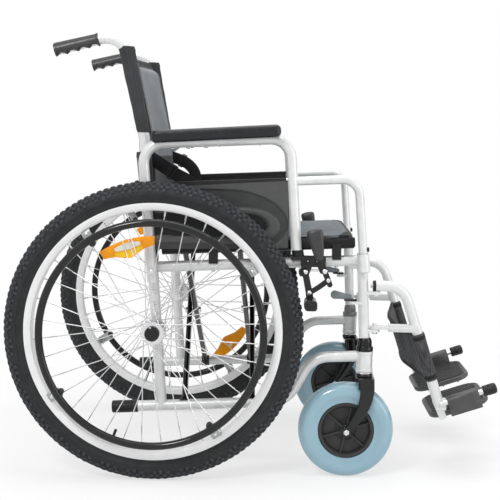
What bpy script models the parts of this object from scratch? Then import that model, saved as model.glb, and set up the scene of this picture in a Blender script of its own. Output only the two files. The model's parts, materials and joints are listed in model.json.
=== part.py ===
"""A folding manual wheelchair, self-propelled, with flip-back armrests and swing-away legrests.

Metres, X forward, Y to the sitter's left, Z up. Places along X are measured from the rear axle, and the
whole chair is moved at the end, so that the origin is on the ground under the middle of its length.
The right-hand pieces are modelled at their distance from the middle plane, and mirrored for the left.
"""

import math

import bmesh
import bpy
from mathutils import Matrix, Vector

for old in list(bpy.data.objects):
    bpy.data.objects.remove(old, do_unlink=True)

# General values
GAP = 0.0003
RUNNING = 0.0004
TUBE_R = 0.011
TUBE_SIDES = 10
BEND_STEPS = 2.4
ROUND_STEPS = 12
BOLT_HEAD_SIDES = 6
PIN_SIDES = 8
FRAME_Y = 0.246
PITCH = math.radians(3.13)

# Rear wheels
WHEEL_R = 0.303
WHEEL_Y = 0.310
WHEEL_STEPS = 30
TYRE_W = 0.046
TYRE_DEPTH = 0.043
RIM_DEPTH = 0.0215
RIM_W = 0.030
SPOKES = 36
SPOKE_R = 0.0011
CROSSINGS = 3
SPOKE_STAGGER = 0.06
FLANGE_R = 0.0235
FLANGE_Y = 0.024
HUB_R = 0.013
HUB_W = 0.062
HUB_STEPS = 10
FLANGE_HALF = 0.0015
AXLE_R = 0.0063
AXLE_CAP_R = 0.015
HANDRIM_R = 0.2207
HANDRIM_TUBE_R = 0.0085
HANDRIM_OUT = 0.049
HANDRIM_TABS = 4
TAB_W = 0.014
TAB_T = 0.003
HANDRIM_TAB_TURN = math.radians(33.4)
REFLECTOR_R = 0.181
REFLECTOR_TURN = math.radians(106.0)
REFLECTOR_L = 0.110
REFLECTOR_H = 0.036
REFLECTOR_T = 0.004

# Casters
CASTER_R = 0.0985
CASTER_TYRE_W = 0.045
CASTER_RIM_R = 0.0575
CASTER_WELL_R = 0.045
CASTER_WEB_R = 0.050
CASTER_WEB_HALF = 0.004
CASTER_HUB_R = 0.011
CASTER_BOLT_R = 0.004
CASTER_STEPS = 20
CASTER_RIBS = 6
SWIVEL_X = 0.430
TRAIL = 0.0348
FORK_TOP = 0.2164
FORK_CLEAR = 0.004
FORK_LEG_T = 0.005
FORK_LEG_W = 0.032
STEM_R = 0.012
HOUSING_R = 0.0175
HOUSING_LOW = 0.2187
HOUSING_TOP = 0.2632
BOOT_H = 0.029
BOOT_R = 0.0185

# Side frames
LOWER_RAIL_Z = 0.1377
LOWER_RAIL_TAIL = -0.085
RISE_X = 0.272
FRONT_RAIL_X = 0.321
FRONT_RAIL_Z = 0.2465
RAIL_BEND = 0.060
SIDE_RAIL_Z = 0.4275
POST_LEAN = math.radians(2.96)
POST_TOP = 0.4655
CANE_LEAN = math.radians(4.33)
CANE_BEND_Z = 0.690
CANE_TOP_LEAN = math.radians(12.0)
HANDLE_Z = 0.9006
HANDLE_BEND = 0.047
CANE_BEND = 0.10
GRIP_DROOP = math.radians(14.7)
GRIP_START = 0.052
GRIP_L = 0.0925
GRIP_R = 0.0124
GRIP_END_R = 0.0148
GRIP_WAVES = 4
GRIP_WAVE = 0.0030
TIP_CAP_L = 0.054
TIP_CAP_R = 0.0129

# Cross-brace and seat rails
SEAT_RAIL_RISE = 0.036
SEAT_RAIL_START = 0.012
SEAT_RAIL_END = 0.400
BRACE_XS = (0.067, 0.194)
BRACE_ARM_W = 0.011
BRACE_ARM_H = 0.020
BRACE_SPACING = 0.0145
SLEEVE_R = 0.0134
SLEEVE_HALF = 0.009
BRACE_BOLT_R = 0.004
REAR_SADDLE_X = 0.115
SADDLE_AHEAD = 0.022
SADDLE_L = 0.018
SADDLE_W = 0.027

# Armrests
ARM_OUT = 0.0245
ARM_PIVOT_Z = 0.421
PIVOT_BOSS_R = 0.0075
ARM_LEG_LEAN = math.radians(4.98)
ARM_LEG_LOW = 0.3985
ARM_BEND = 0.042
FRONT_LEG_X = 0.28425
FRONT_LEG_LOW = 0.4708
BAR_R = 0.009
BAR_Z = 0.5947
BAR_BEND = 0.035
DROP_TUBE_LOW = 0.449
COLLAR_X = 0.4230
COLLAR_R = 0.0125
COLLAR_LOW = 0.4285
PAD_X = (-0.0116, 0.2482)
PAD_TOP_Z = 0.7058
PAD_TUBE_DROP = 0.0247
PAD_T = 0.0256
PAD_W = 0.050
PAD_SLOPE = math.radians(3.9)
GUARD_X = (-0.013, 0.274)
GUARD_LOW_Z = 0.4665
GUARD_TOP_Z = 0.6010
GUARD_T = 0.006
LATCH_Z = 0.4745
LATCH_R = 0.005
LATCH_PROUD = 0.004
LATCH_L = 0.009

# Brakes. Their X values are counted from the front of the tyre at the shoe's height.
SHOE_GAP = 0.0059
SHOE_Z = (0.3545, 0.3750)
TYRE_FRONT = math.sqrt(WHEEL_R**2 - (sum(SHOE_Z) / 2 - WHEEL_R) ** 2)
SHOE_X = (TYRE_FRONT + SHOE_GAP, TYRE_FRONT + SHOE_GAP + 0.025)
BRACKET_X = (SHOE_X[0] - 0.0085, SHOE_X[0] + 0.0425)
BRACKET_Z = (0.4356, 0.4575)
BRACKET_OUT = 0.0175
SHOE_PIVOT = (SHOE_X[0] + 0.0007, 0.4266)
LEVER_PIVOT = (SHOE_X[0] + 0.0398, 0.4295)
LEVER_LINK = (SHOE_X[0] + 0.0473, 0.4113)
SHOE_LINK = (SHOE_X[0] + 0.0095, 0.3851)
BRAKE_PLATE_T = 0.004
BRAKE_PLATE_STEP = 0.0045
SHOE_ARM_OUT = 0.028
SHOE_OUT = 0.332
GRIP_LOW = (SHOE_X[0] + 0.0295, 0.4520)
GRIP_HIGH = (SHOE_X[0] + 0.0165, 0.5150)
GRIP_SHARES = (0.0, 0.06, 0.3, 0.6, 0.88, 0.97, 1.0)
GRIP_WIDTHS = (0.0050, 0.0078, 0.0108, 0.0130, 0.0146, 0.0118, 0.0070)
GRIP_DEPTHS = (0.0040, 0.0055, 0.0068, 0.0078, 0.0086, 0.0070, 0.0040)
PIVOT_R = 0.003

# Legrests
HINGE_X = 0.4495
HINGE_R = 0.0135
HANGER_Z = 0.398
HANGER_BEND = 0.047
HANGER_CORNER_X = 0.506
HANGER_SLOPE = math.radians(18.7)
HANGER_LOW = 0.157
HANGER_LOW_Y = 0.222
LUG_T = 0.006
HINGE_PIN_R = 0.004
TONGUE_Z = 0.309
TONGUE_T = 0.006
INNER_BAR_R = 0.0055
INNER_BAR_LOW = 0.118
PLATE_AXIS_X = 0.693
PLATE_AXIS_Z = 0.1845
PLATE_AXIS_Y = 0.228
PLATE_PIN_R = 0.006
PLATE_PIN_START = 0.591
PLATE_PIN_END = 0.709
PLATE_DROP = 0.019
PLATE_T = 0.011
PLATE_Y = (0.040, 0.220)
PLATE_BACK = -0.133
PLATE_CORNER_R = 0.034
PLATE_FRONT = -0.0035
PLATE_RIB_PITCH = 0.013
RIB_INSET = 0.018
BLOCK_START = 0.607
BLOCK_L = 0.067
BLOCK_UP = 0.012
BLOCK_W = 0.022
BUMPER_R = 0.0115
BUMPER_L = 0.030
STRAP_TOP = 0.300
STRAP_LOW = 0.202
STRAP_R = 0.0132
STRAP_T = 0.004
STRAP_SAG = 0.030
RELEASE_X = 0.405
RELEASE_Z = 0.366
PADDLE_L = 0.046
PADDLE_H = 0.018

# Upholstery
SEAT_OUT = 0.2585
SEAT_BACK = 0.012
SEAT_FRONT = 0.405
SEAT_LOW = 0.0075
SEAT_EDGE = 0.0150
SEAT_ROLL = 0.003
SEAT_CROWN = 0.006
BACK_LOW = 0.440
BACK_TOP = 0.8745
BACK_SAG = 0.028
BACK_T = 0.010
NOTCH_LOW = 0.662
NOTCH_TOP = 0.702
NOTCH_STEP = 0.004
NOTCH_IN = 0.006
SLEEVE_CLOTH_R = 0.0125
SLEEVE_LOW_X = 0.0160
SLEEVE_TOP_X = 0.0175
HALF_GAP = 0.0002

ARM_Y = FRAME_Y + ARM_OUT
PAD_TUBE_Z = PAD_TOP_Z - PAD_TUBE_DROP
SADDLE_XS = (REAR_SADDLE_X, BRACKET_X[1] + SADDLE_AHEAD)


def material(name, colour, roughness, metallic=0.0):
    made = bpy.data.materials.new(name)
    made.use_nodes = True
    shader = made.node_tree.nodes["Principled BSDF"]
    shader.inputs["Base Color"].default_value = (*colour, 1.0)
    shader.inputs["Roughness"].default_value = roughness
    shader.inputs["Metallic"].default_value = metallic
    made.diffuse_color = (*colour, 1.0)
    return made


SILVER = material("silver paint", (0.46, 0.47, 0.48), 0.35, 0.6)
BRIGHT = material("bright steel", (0.62, 0.62, 0.63), 0.25, 0.9)
BLACK = material("black plastic", (0.03, 0.03, 0.032), 0.5)
BLACK_PAINT = material("black paint", (0.025, 0.025, 0.028), 0.35)
RUBBER = material("tyre rubber", (0.06, 0.06, 0.062), 0.8)
CASTER_BLUE = material("caster rubber", (0.31, 0.48, 0.565), 0.35)
DARK_GREY = material("dark grey plastic", (0.10, 0.10, 0.11), 0.5)
GREY_CLOTH = material("grey cloth", (0.22, 0.23, 0.25), 0.9)
BLACK_CLOTH = material("black cloth", (0.03, 0.03, 0.033), 0.9)
ORANGE = material("orange reflector", (0.75, 0.20, 0.03), 0.25)


def at(x, y, z):
    """A point on the right-hand side, y being its distance from the middle plane."""
    return Vector((x, -y, z))


def rail_z(height, x):
    """Height at x of a rail that climbs with the frame's pitch."""
    return height + x * math.tan(PITCH)


def cane_x(z):
    lower = -math.tan(CANE_LEAN) * (min(z, CANE_BEND_Z) - WHEEL_R)
    return lower - math.tan(CANE_TOP_LEAN) * max(z - CANE_BEND_Z, 0.0)


def post_x(z):
    return SWIVEL_X - math.tan(POST_LEAN) * (z - HOUSING_TOP)


def arm_leg_x(z):
    return cane_x(ARM_PIVOT_Z) - math.tan(ARM_LEG_LEAN) * (z - ARM_PIVOT_Z)


def front_leg_x(z):
    return FRONT_LEG_X - math.tan(CANE_LEAN) * (z - FRONT_LEG_LOW)


def drop_tube_x(z):
    return COLLAR_X - math.tan(ARM_LEG_LEAN) * (z - COLLAR_LOW)


def meeting(height, across):
    """Where a pitched rail of this height meets the leaning tube whose x is across(z)."""
    z = height
    for _ in range(6):
        z = rail_z(height, across(z))
    return across(z), z


def keep(bm, name="tool"):
    bmesh.ops.recalc_face_normals(bm, faces=bm.faces)
    mesh = bpy.data.meshes.new(name)
    bm.to_mesh(mesh)
    bm.free()
    made = bpy.data.objects.new(name, mesh)
    bpy.context.scene.collection.objects.link(made)
    return made


def combine(target, operation, tools):
    """The target joined with each tool, or cut by it. The tools are used up."""
    for tool in tools:
        step = target.modifiers.new(operation, "BOOLEAN")
        step.operation = operation
        step.object = tool
        step.solver = "EXACT"
    graph = bpy.context.evaluated_depsgraph_get()
    mesh = bpy.data.meshes.new_from_object(target.evaluated_get(graph))
    target.modifiers.clear()
    target.data = mesh
    for tool in tools:
        bpy.data.objects.remove(tool, do_unlink=True)
    return target


def join(target, *tools):
    return combine(target, "UNION", tools)


def cut(target, *tools):
    return combine(target, "DIFFERENCE", tools)


def bridge(bm, rings, closed_path=False):
    """Faces between neighbouring rings of vertices, and a cap on each end of an open run."""
    pairs = list(zip(rings, rings[1:]))
    if closed_path:
        pairs.append((rings[-1], rings[0]))
    for first, second in pairs:
        count = max(len(first), len(second))
        for i in range(count):
            j = (i + 1) % count
            if len(first) == 1:
                bm.faces.new((first[0], second[j], second[i]))
            elif len(second) == 1:
                bm.faces.new((first[i], first[j], second[0]))
            else:
                bm.faces.new((first[i], first[j], second[j], second[i]))
    if not closed_path:
        if len(rings[0]) > 1:
            bm.faces.new(rings[0][::-1])
        if len(rings[-1]) > 1:
            bm.faces.new(rings[-1])


def bent(corners, bends):
    """Points and directions along straight runs, with an arc of the given radius at each corner."""
    if not isinstance(bends, (list, tuple)):
        bends = [bends] * (len(corners) - 2)
    runs = [(b - a).normalized() for a, b in zip(corners, corners[1:])]
    path = [(corners[0], runs[0])]
    for corner, before, after, radius in zip(corners[1:-1], runs, runs[1:], bends):
        turn = before.angle(after)
        axis = before.cross(after).normalized()
        start = corner - before * radius * math.tan(turn / 2)
        centre = start + axis.cross(before) * radius
        steps = max(1, round(BEND_STEPS * turn / math.radians(60)))
        for i in range(steps + 1):
            spin = Matrix.Rotation(turn * i / steps, 3, axis)
            path.append((centre + spin @ (start - centre), spin @ before))
    path.append((corners[-1], runs[-1]))
    return path


def swept(path, section, across=Vector((0, 1, 0))):
    """A section carried along a path. section(i, n) gives ring i's outline as (across, up) offsets."""
    bm = bmesh.new()
    rings = []
    for i, (point, along) in enumerate(path):
        u = (across - along * across.dot(along)).normalized()
        v = along.cross(u)
        rings.append([bm.verts.new(point + u * a + v * b) for a, b in section(i, len(path))])
    bridge(bm, rings)
    return keep(bm)


def circle(radius, sides=TUBE_SIDES, turn=0.0):
    angles = [turn + math.tau * (k + 0.5) / sides for k in range(sides)]
    return [(radius * math.cos(a), radius * math.sin(a)) for a in angles]


def oblong(width, height):
    """A rectangle's corners, as a section for a sweep."""
    a, b = width / 2, height / 2
    return [(-a, -b), (a, -b), (a, b), (-a, b)]


def tube(corners, bends=0.0, radius=TUBE_R, sides=TUBE_SIDES):
    return swept(bent(corners, bends), lambda i, n: circle(radius, sides))


def rod(start, end, radius, sides=TUBE_SIDES):
    across = Vector((0, 1, 0)) if abs((end - start).normalized().y) < 0.7 else Vector((1, 0, 0))
    path = [(start, (end - start).normalized()), (end, (end - start).normalized())]
    return swept(path, lambda i, n: circle(radius, sides), across)


def bore(start, end, radius):
    """A cutter whose flats lie at the radius, so that a pin of fewer sides keeps its clearance."""
    return rod(start, end, radius / math.cos(math.pi / ROUND_STEPS), ROUND_STEPS)


def turned(profile, centre, axis, steps, ring=False):
    """A profile of (radius, distance along the axis) turned round it. A ring's profile is closed."""
    axis = axis.normalized()
    start = Vector((0, 0, -1)) if abs(axis.z) < 0.9 else Vector((1, 0, 0))
    u = (start - axis * axis.dot(start)).normalized()
    v = axis.cross(u)
    bm = bmesh.new()
    rings = []
    for radius, along in profile:
        base = centre + axis * along
        if radius < 1e-7:
            rings.append([bm.verts.new(base)])
            continue
        turns = [math.tau * k / steps for k in range(steps)]
        rings.append([bm.verts.new(base + (u * math.cos(a) + v * math.sin(a)) * radius) for a in turns])
    bridge(bm, rings, closed_path=ring)
    return keep(bm)


def rounded(corners, radius, steps=3):
    """A closed 2D outline with an arc at each corner."""
    out = []
    count = len(corners)
    for k, corner in enumerate(corners):
        here = Vector(corner)
        before = (here - Vector(corners[k - 1])).normalized()
        after = (Vector(corners[(k + 1) % count]) - here).normalized()
        turn = math.atan2(before.x * after.y - before.y * after.x, before.dot(after))
        back = radius * math.tan(abs(turn) / 2)
        start = here - before * back
        side = Vector((-before.y, before.x)) * math.copysign(1.0, turn)
        centre = start + side * radius
        for i in range(steps + 1):
            spin = Matrix.Rotation(turn * i / steps, 2)
            out.append(tuple(centre + spin @ (start - centre)))
    return out


def plate(outline, low, high, plane="XZ"):
    """A flat outline given a thickness. In the XZ plane, low and high are distances from the middle."""
    place = {
        "XZ": lambda a, b, t: at(a, t, b),
        "XY": lambda a, b, t: at(a, b, t),
        "YZ": lambda a, b, t: at(t, a, b),
    }[plane]
    bm = bmesh.new()
    rings = [[bm.verts.new(place(a, b, t)) for a, b in outline] for t in (low, high)]
    bridge(bm, rings)
    return keep(bm)


def box(x, y, z):
    return plate([(x[0], z[0]), (x[1], z[0]), (x[1], z[1]), (x[0], z[1])], *y)


def fan(middle, first, steps=5):
    """Points half a turn round from the first, for the round end of a bar."""
    spoke = Vector(first) - Vector(middle)
    return [tuple(Vector(middle) + Matrix.Rotation(-math.pi * i / steps, 2) @ spoke) for i in range(1, steps)]


def strip(path, start_w, end_w, round_start=False):
    """The outline of a bar along a 2D path, its width going from start_w to end_w, with a round far end."""
    left, right = [], []
    for i, point in enumerate(path):
        before = Vector(path[max(i - 1, 0)])
        after = Vector(path[min(i + 1, len(path) - 1)])
        along = (after - before).normalized()
        half = (start_w + (end_w - start_w) * i / (len(path) - 1)) / 2
        side = Vector((-along.y, along.x)) * half
        left.append(tuple(Vector(point) + side))
        right.append(tuple(Vector(point) - side))
    outline = left + fan(path[-1], left[-1]) + right[::-1]
    return outline + fan(path[0], right[0]) if round_start else outline


def finish(made, name, look, origin):
    """Names a right-hand piece, gives it its material and puts its origin on its seat or joint axis."""
    made.name = name
    made.data.name = name
    made.data.materials.clear()
    made.data.materials.append(look)
    made.data.transform(Matrix.Translation(-origin))
    made.location = origin
    made.data.shade_smooth()
    made.data.set_sharp_from_angle(angle=math.radians(35))
    return made


def both(made, name, look, origin):
    """A right-hand piece and its mirror image."""
    right = finish(made, name + "_right", look, origin)
    mesh = right.data.copy()
    mesh.name = name + "_left"
    mesh.transform(Matrix.Diagonal((1, -1, 1, 1)))
    mesh.flip_normals()
    left = bpy.data.objects.new(name + "_left", mesh)
    left.location = (origin.x, -origin.y, origin.z)
    bpy.context.scene.collection.objects.link(left)


def side_rail_rod(radius, start, end, rise=0.0):
    low = at(start, FRAME_Y, rail_z(SIDE_RAIL_Z + rise, start))
    high = at(end, FRAME_Y, rail_z(SIDE_RAIL_Z + rise, end))
    return rod(low, high, radius)


def cane_rod(radius):
    return rod(at(cane_x(0.10), FRAME_Y, 0.10), at(cane_x(CANE_BEND_Z), FRAME_Y, CANE_BEND_Z), radius)


def pivot_boss(radius):
    """The boss on the cane that carries the armrest's pivot bolt."""
    x = cane_x(ARM_PIVOT_Z)
    return rod(at(x, FRAME_Y, ARM_PIVOT_Z), at(x, ARM_Y - TUBE_R - GAP, ARM_PIVOT_Z), radius)


def post_rod(radius, low, high, y=FRAME_Y):
    return rod(at(post_x(low), y, low), at(post_x(high), y, high), radius)


def saddle(x):
    """A block welded on the side rail, with a sloping top just under the seat rail."""
    top = SEAT_RAIL_RISE - TUBE_R - 2 * GAP
    ends = (x - SADDLE_L / 2, x + SADDLE_L / 2)
    outline = [(ends[0], rail_z(SIDE_RAIL_Z, ends[0])), (ends[1], rail_z(SIDE_RAIL_Z, ends[1]))]
    outline += [(end, rail_z(SIDE_RAIL_Z + top, end)) for end in ends[::-1]]
    return plate(outline, FRAME_Y - SADDLE_W / 2, FRAME_Y + SADDLE_W / 2)


def lug(z, thickness, start, end):
    """A flat lug that carries the legrest's hinge pin, round at its front."""
    return plate(strip([(start, FRAME_Y), (end, FRAME_Y)], 0.020, 0.020), z - thickness, z, "XY")


def side_frame():
    rise_z = rail_z(LOWER_RAIL_Z, RISE_X)
    front_end = SWIVEL_X - HOUSING_R / 2
    front_z = FRONT_RAIL_Z + (front_end - FRONT_RAIL_X) * math.tan(PITCH)
    frame = tube(
        [
            at(LOWER_RAIL_TAIL, FRAME_Y, rail_z(LOWER_RAIL_Z, LOWER_RAIL_TAIL)),
            at(RISE_X, FRAME_Y, rise_z),
            at(FRONT_RAIL_X, FRAME_Y, FRONT_RAIL_Z),
            at(front_end, FRAME_Y, front_z),
        ],
        RAIL_BEND,
    )
    rail_front = meeting(SIDE_RAIL_Z, post_x)[0]
    rail_back = cane_x(SIDE_RAIL_Z)
    rail = side_rail_rod(TUBE_R, rail_back, rail_front)
    rail = cut(rail, cane_rod(TUBE_R + GAP), pivot_boss(PIVOT_BOSS_R + GAP))
    housing = turned(
        [(0, HOUSING_LOW), (HOUSING_R, HOUSING_LOW), (HOUSING_R, HOUSING_TOP), (0, HOUSING_TOP)],
        at(SWIVEL_X, FRAME_Y, 0),
        Vector((0, 0, 1)),
        ROUND_STEPS,
    )
    collar_axis = [at(drop_tube_x(z), ARM_Y, z) for z in (COLLAR_LOW, POST_TOP)]
    bore_axis = [at(drop_tube_x(z), ARM_Y, z) for z in (COLLAR_LOW - 0.01, POST_TOP + 0.01)]
    web_x = post_x(COLLAR_LOW)
    web = box(
        (web_x - 0.006, web_x + 0.006),
        (FRAME_Y + TUBE_R / 2, ARM_Y - COLLAR_R / 2),
        (COLLAR_LOW + 0.003, POST_TOP - 0.003),
    )
    pieces = [post_rod(TUBE_R, HOUSING_TOP - 0.01, POST_TOP), rail, housing, web]
    pieces.append(rod(*collar_axis, COLLAR_R))
    pieces.extend(saddle(x) for x in SADDLE_XS)
    upper_lug = HANGER_Z - TUBE_R - GAP
    lower_lug = TONGUE_Z - GAP
    for top, pin_top in ((upper_lug, HANGER_Z), (lower_lug, TONGUE_Z + TONGUE_T + 0.003)):
        pieces.append(lug(top, LUG_T, post_x(top), HINGE_X))
        pin_ends = [at(HINGE_X, FRAME_Y, z) for z in (top - LUG_T / 2, pin_top)]
        pieces.append(rod(*pin_ends, HINGE_PIN_R, PIN_SIDES))
    release_top = RELEASE_Z - GAP
    pieces.append(lug(release_top, LUG_T, post_x(release_top), RELEASE_X))
    release_pin = [at(RELEASE_X, FRAME_Y, z) for z in (release_top - LUG_T / 2, RELEASE_Z + LUG_T)]
    pieces.append(rod(*release_pin, PIVOT_R, PIN_SIDES))
    frame = join(frame, *pieces)
    stem_ends = [at(SWIVEL_X, FRAME_Y, z) for z in (HOUSING_LOW - 0.01, HOUSING_TOP - 0.004)]
    stem_bore = bore(*stem_ends, STEM_R + RUNNING)
    frame = cut(frame, rod(*bore_axis, BAR_R + 0.002), stem_bore)
    both(frame, "side_frame", SILVER, at(SWIVEL_X, FRAME_Y, rail_z(SIDE_RAIL_Z, SWIVEL_X)))


def handle_corner():
    """Where the cane's upper line and the push handle's line cross."""
    return at(cane_x(HANDLE_Z), FRAME_Y, HANDLE_Z)


def grip_direction():
    return Vector((-math.cos(GRIP_DROOP), 0, -math.sin(GRIP_DROOP)))


def cane_tube(foot, handle_length, radius):
    """The back cane, from a point on it up over its bend and back along the push handle."""
    knee = at(cane_x(CANE_BEND_Z), FRAME_Y, CANE_BEND_Z)
    corner = handle_corner()
    end = corner + grip_direction() * handle_length
    return tube([foot, knee, corner, end], [CANE_BEND, HANDLE_BEND], radius)


def rear_post():
    foot = at(cane_x(LOWER_RAIL_Z), FRAME_Y, LOWER_RAIL_Z)
    post = cane_tube(foot, GRIP_START + GRIP_L - 0.012, TUBE_R)
    lower_rail = rod(
        at(-0.06, FRAME_Y, rail_z(LOWER_RAIL_Z, -0.06)),
        at(0.10, FRAME_Y, rail_z(LOWER_RAIL_Z, 0.10)),
        TUBE_R + GAP,
    )
    receiver_end = WHEEL_Y - HUB_W / 2 - TYRE_W / 8
    receiver = rod(at(0, FRAME_Y, WHEEL_R), at(0, receiver_end, WHEEL_R), HUB_R)
    pivot_x = cane_x(ARM_PIVOT_Z)
    head_y = ARM_Y + TUBE_R + GAP
    pin_ends = [at(pivot_x, y, ARM_PIVOT_Z) for y in (FRAME_Y, head_y + 0.002)]
    head_ends = [at(pivot_x, y, ARM_PIVOT_Z) for y in (head_y, head_y + 0.004)]
    pin = rod(*pin_ends, PIVOT_R, PIN_SIDES)
    head = rod(*head_ends, 0.007, BOLT_HEAD_SIDES)
    post = join(post, receiver, pivot_boss(PIVOT_BOSS_R), pin, head)
    axle_bore = bore(at(0, FRAME_Y - 0.03, WHEEL_R), at(0, WHEEL_Y, WHEEL_R), AXLE_R + GAP)
    both(cut(post, lower_rail, axle_bore), "rear_post", SILVER, at(0, FRAME_Y, WHEEL_R))


def grip_section(i, count):
    """The grip's outline: round above, with finger waves underneath, and a bead at the far end."""
    share = i / (count - 1)
    radius = GRIP_R + (GRIP_END_R - GRIP_R) * share
    if i in (0, count - 1):
        radius -= 0.0015
    wave = GRIP_WAVE * (1 - abs(math.cos(math.pi * GRIP_WAVES * share))) * (0.35 + 0.65 * share)
    outline = []
    for a, b in circle(radius):
        under = max(b / radius, 0.0) if i not in (0, count - 1) else 0.0
        outline.append((a, b - wave * under))
    return outline


def push_grip():
    start = handle_corner() + grip_direction() * GRIP_START
    steps = GRIP_WAVES * 4
    shares = [0.0, 0.015] + [k / steps for k in range(1, steps)] + [0.985, 1.0]
    path = [(start + grip_direction() * GRIP_L * s, grip_direction()) for s in shares]
    grip = swept(path, grip_section)
    ends = [start + grip_direction() * s for s in (-0.01, GRIP_L - 0.0117)]
    both(cut(grip, rod(*ends, TUBE_R + GAP)), "push_grip", BLACK, start)


def tip_cap():
    along = Vector((math.cos(PITCH), 0, math.sin(PITCH)))
    start = at(LOWER_RAIL_TAIL, FRAME_Y, rail_z(LOWER_RAIL_Z, LOWER_RAIL_TAIL)) - along * 0.0055
    profile = [(0, 0), (TIP_CAP_R - 0.002, 0), (TIP_CAP_R, 0.002), (TIP_CAP_R, TIP_CAP_L), (0, TIP_CAP_L)]
    cap = turned(profile, start, along, TUBE_SIDES)
    both(cut(cap, rod(start + along * 0.0052, start + along * 0.1, TUBE_R + GAP)), "tip_cap", BLACK, start)


def armrest_loop(radius):
    """The bent tube from the armrest's pivot, along under the pad and down to the front leg's foot."""
    rear = meeting(PAD_TUBE_Z, arm_leg_x)
    front = meeting(PAD_TUBE_Z, front_leg_x)
    corners = [
        at(arm_leg_x(ARM_LEG_LOW), ARM_Y, ARM_LEG_LOW),
        at(rear[0], ARM_Y, rear[1]),
        at(front[0], ARM_Y, front[1]),
        at(FRONT_LEG_X, ARM_Y, FRONT_LEG_LOW),
    ]
    return tube(corners, ARM_BEND, radius)


def armrest_frame():
    bar_corner = meeting(BAR_Z, drop_tube_x)
    bar_start = meeting(BAR_Z, front_leg_x)
    loop = armrest_loop(TUBE_R)
    bar = tube(
        [
            at(bar_start[0], ARM_Y, bar_start[1]),
            at(bar_corner[0], ARM_Y, bar_corner[1]),
            at(drop_tube_x(DROP_TUBE_LOW), ARM_Y, DROP_TUBE_LOW),
        ],
        BAR_BEND,
        BAR_R,
    )
    foot_low = BRACKET_Z[1] + GAP + TUBE_R * math.sin(CANE_LEAN)
    foot = rod(
        at(front_leg_x(foot_low), ARM_Y, foot_low),
        at(front_leg_x(FRONT_LEG_LOW), ARM_Y, FRONT_LEG_LOW + 0.002),
        TUBE_R - 0.0015,
    )
    frame = join(loop, bar, foot)
    pivot_x = cane_x(ARM_PIVOT_Z)
    pivot_ends = [at(pivot_x, y, ARM_PIVOT_Z) for y in (FRAME_Y, ARM_Y + 0.03)]
    pivot_bore = rod(*pivot_ends, PIVOT_R + RUNNING)
    pocket_ends = [at(drop_tube_x(LATCH_Z) + reach, ARM_Y, LATCH_Z) for reach in (0, 0.03)]
    pocket = rod(*pocket_ends, LATCH_R + RUNNING)
    both(cut(frame, pivot_bore, pocket), "armrest_frame", SILVER, at(pivot_x, ARM_Y, ARM_PIVOT_Z))


def arm_latch():
    tip = drop_tube_x(LATCH_Z) + BAR_R + LATCH_PROUD
    back = tip - LATCH_L
    profile = [(0, 0), (LATCH_R, 0), (LATCH_R, LATCH_L - 0.0015), (LATCH_R - 0.0015, LATCH_L), (0, LATCH_L)]
    button = turned(profile, at(back, ARM_Y, LATCH_Z), Vector((1, 0, 0)), TUBE_SIDES)
    both(button, "arm_latch", BLACK, at(back, ARM_Y, LATCH_Z))


def arm_pad():
    along = Vector((math.cos(PAD_SLOPE), 0, math.sin(PAD_SLOPE)))
    middle_y = ARM_Y + PAD_W / 2 - TUBE_R + 0.001
    start = at(PAD_X[0], middle_y, PAD_TOP_Z - PAD_T / 2)
    length = (PAD_X[1] - PAD_X[0]) / math.cos(PAD_SLOPE)
    path = [(start + along * length * s, along) for s in (0.0, 0.012, 0.04, 0.96, 0.988, 1.0)]
    half_w, half_t = PAD_W / 2, PAD_T / 2
    shrink = {0: 0.78, 1: 0.93, 4: 0.93, 5: 0.78}

    def section(i, count):
        scale = shrink.get(i, 1.0)
        corners = [(-half_w, -half_t), (half_w, -half_t), (half_w, half_t), (-half_w, half_t)]
        return [(a * scale, b * scale) for a, b in rounded(corners, 0.008, 2)]

    pad = cut(swept(path, section), armrest_loop(TUBE_R + GAP))
    both(pad, "arm_pad", BLACK, at(PAD_X[0], ARM_Y, PAD_TOP_Z))


def side_guard():
    top = [rail_z(GUARD_TOP_Z, x) for x in GUARD_X]
    low = [rail_z(GUARD_LOW_Z, x) - 0.008 * k for k, x in enumerate(GUARD_X)]
    outline = [(GUARD_X[0], low[0]), (GUARD_X[1], low[1]), (GUARD_X[1], top[1]), (GUARD_X[0], top[0])]
    guard = plate(outline, ARM_Y - GUARD_T / 2, ARM_Y + GUARD_T / 2)
    legs = [
        rod(at(across(0.40), ARM_Y, 0.40), at(across(0.66), ARM_Y, 0.66), TUBE_R + GAP)
        for across in (arm_leg_x, front_leg_x)
    ]
    both(cut(guard, *legs), "side_guard", DARK_GREY, at(GUARD_X[0], ARM_Y, GUARD_LOW_Z))


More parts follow.
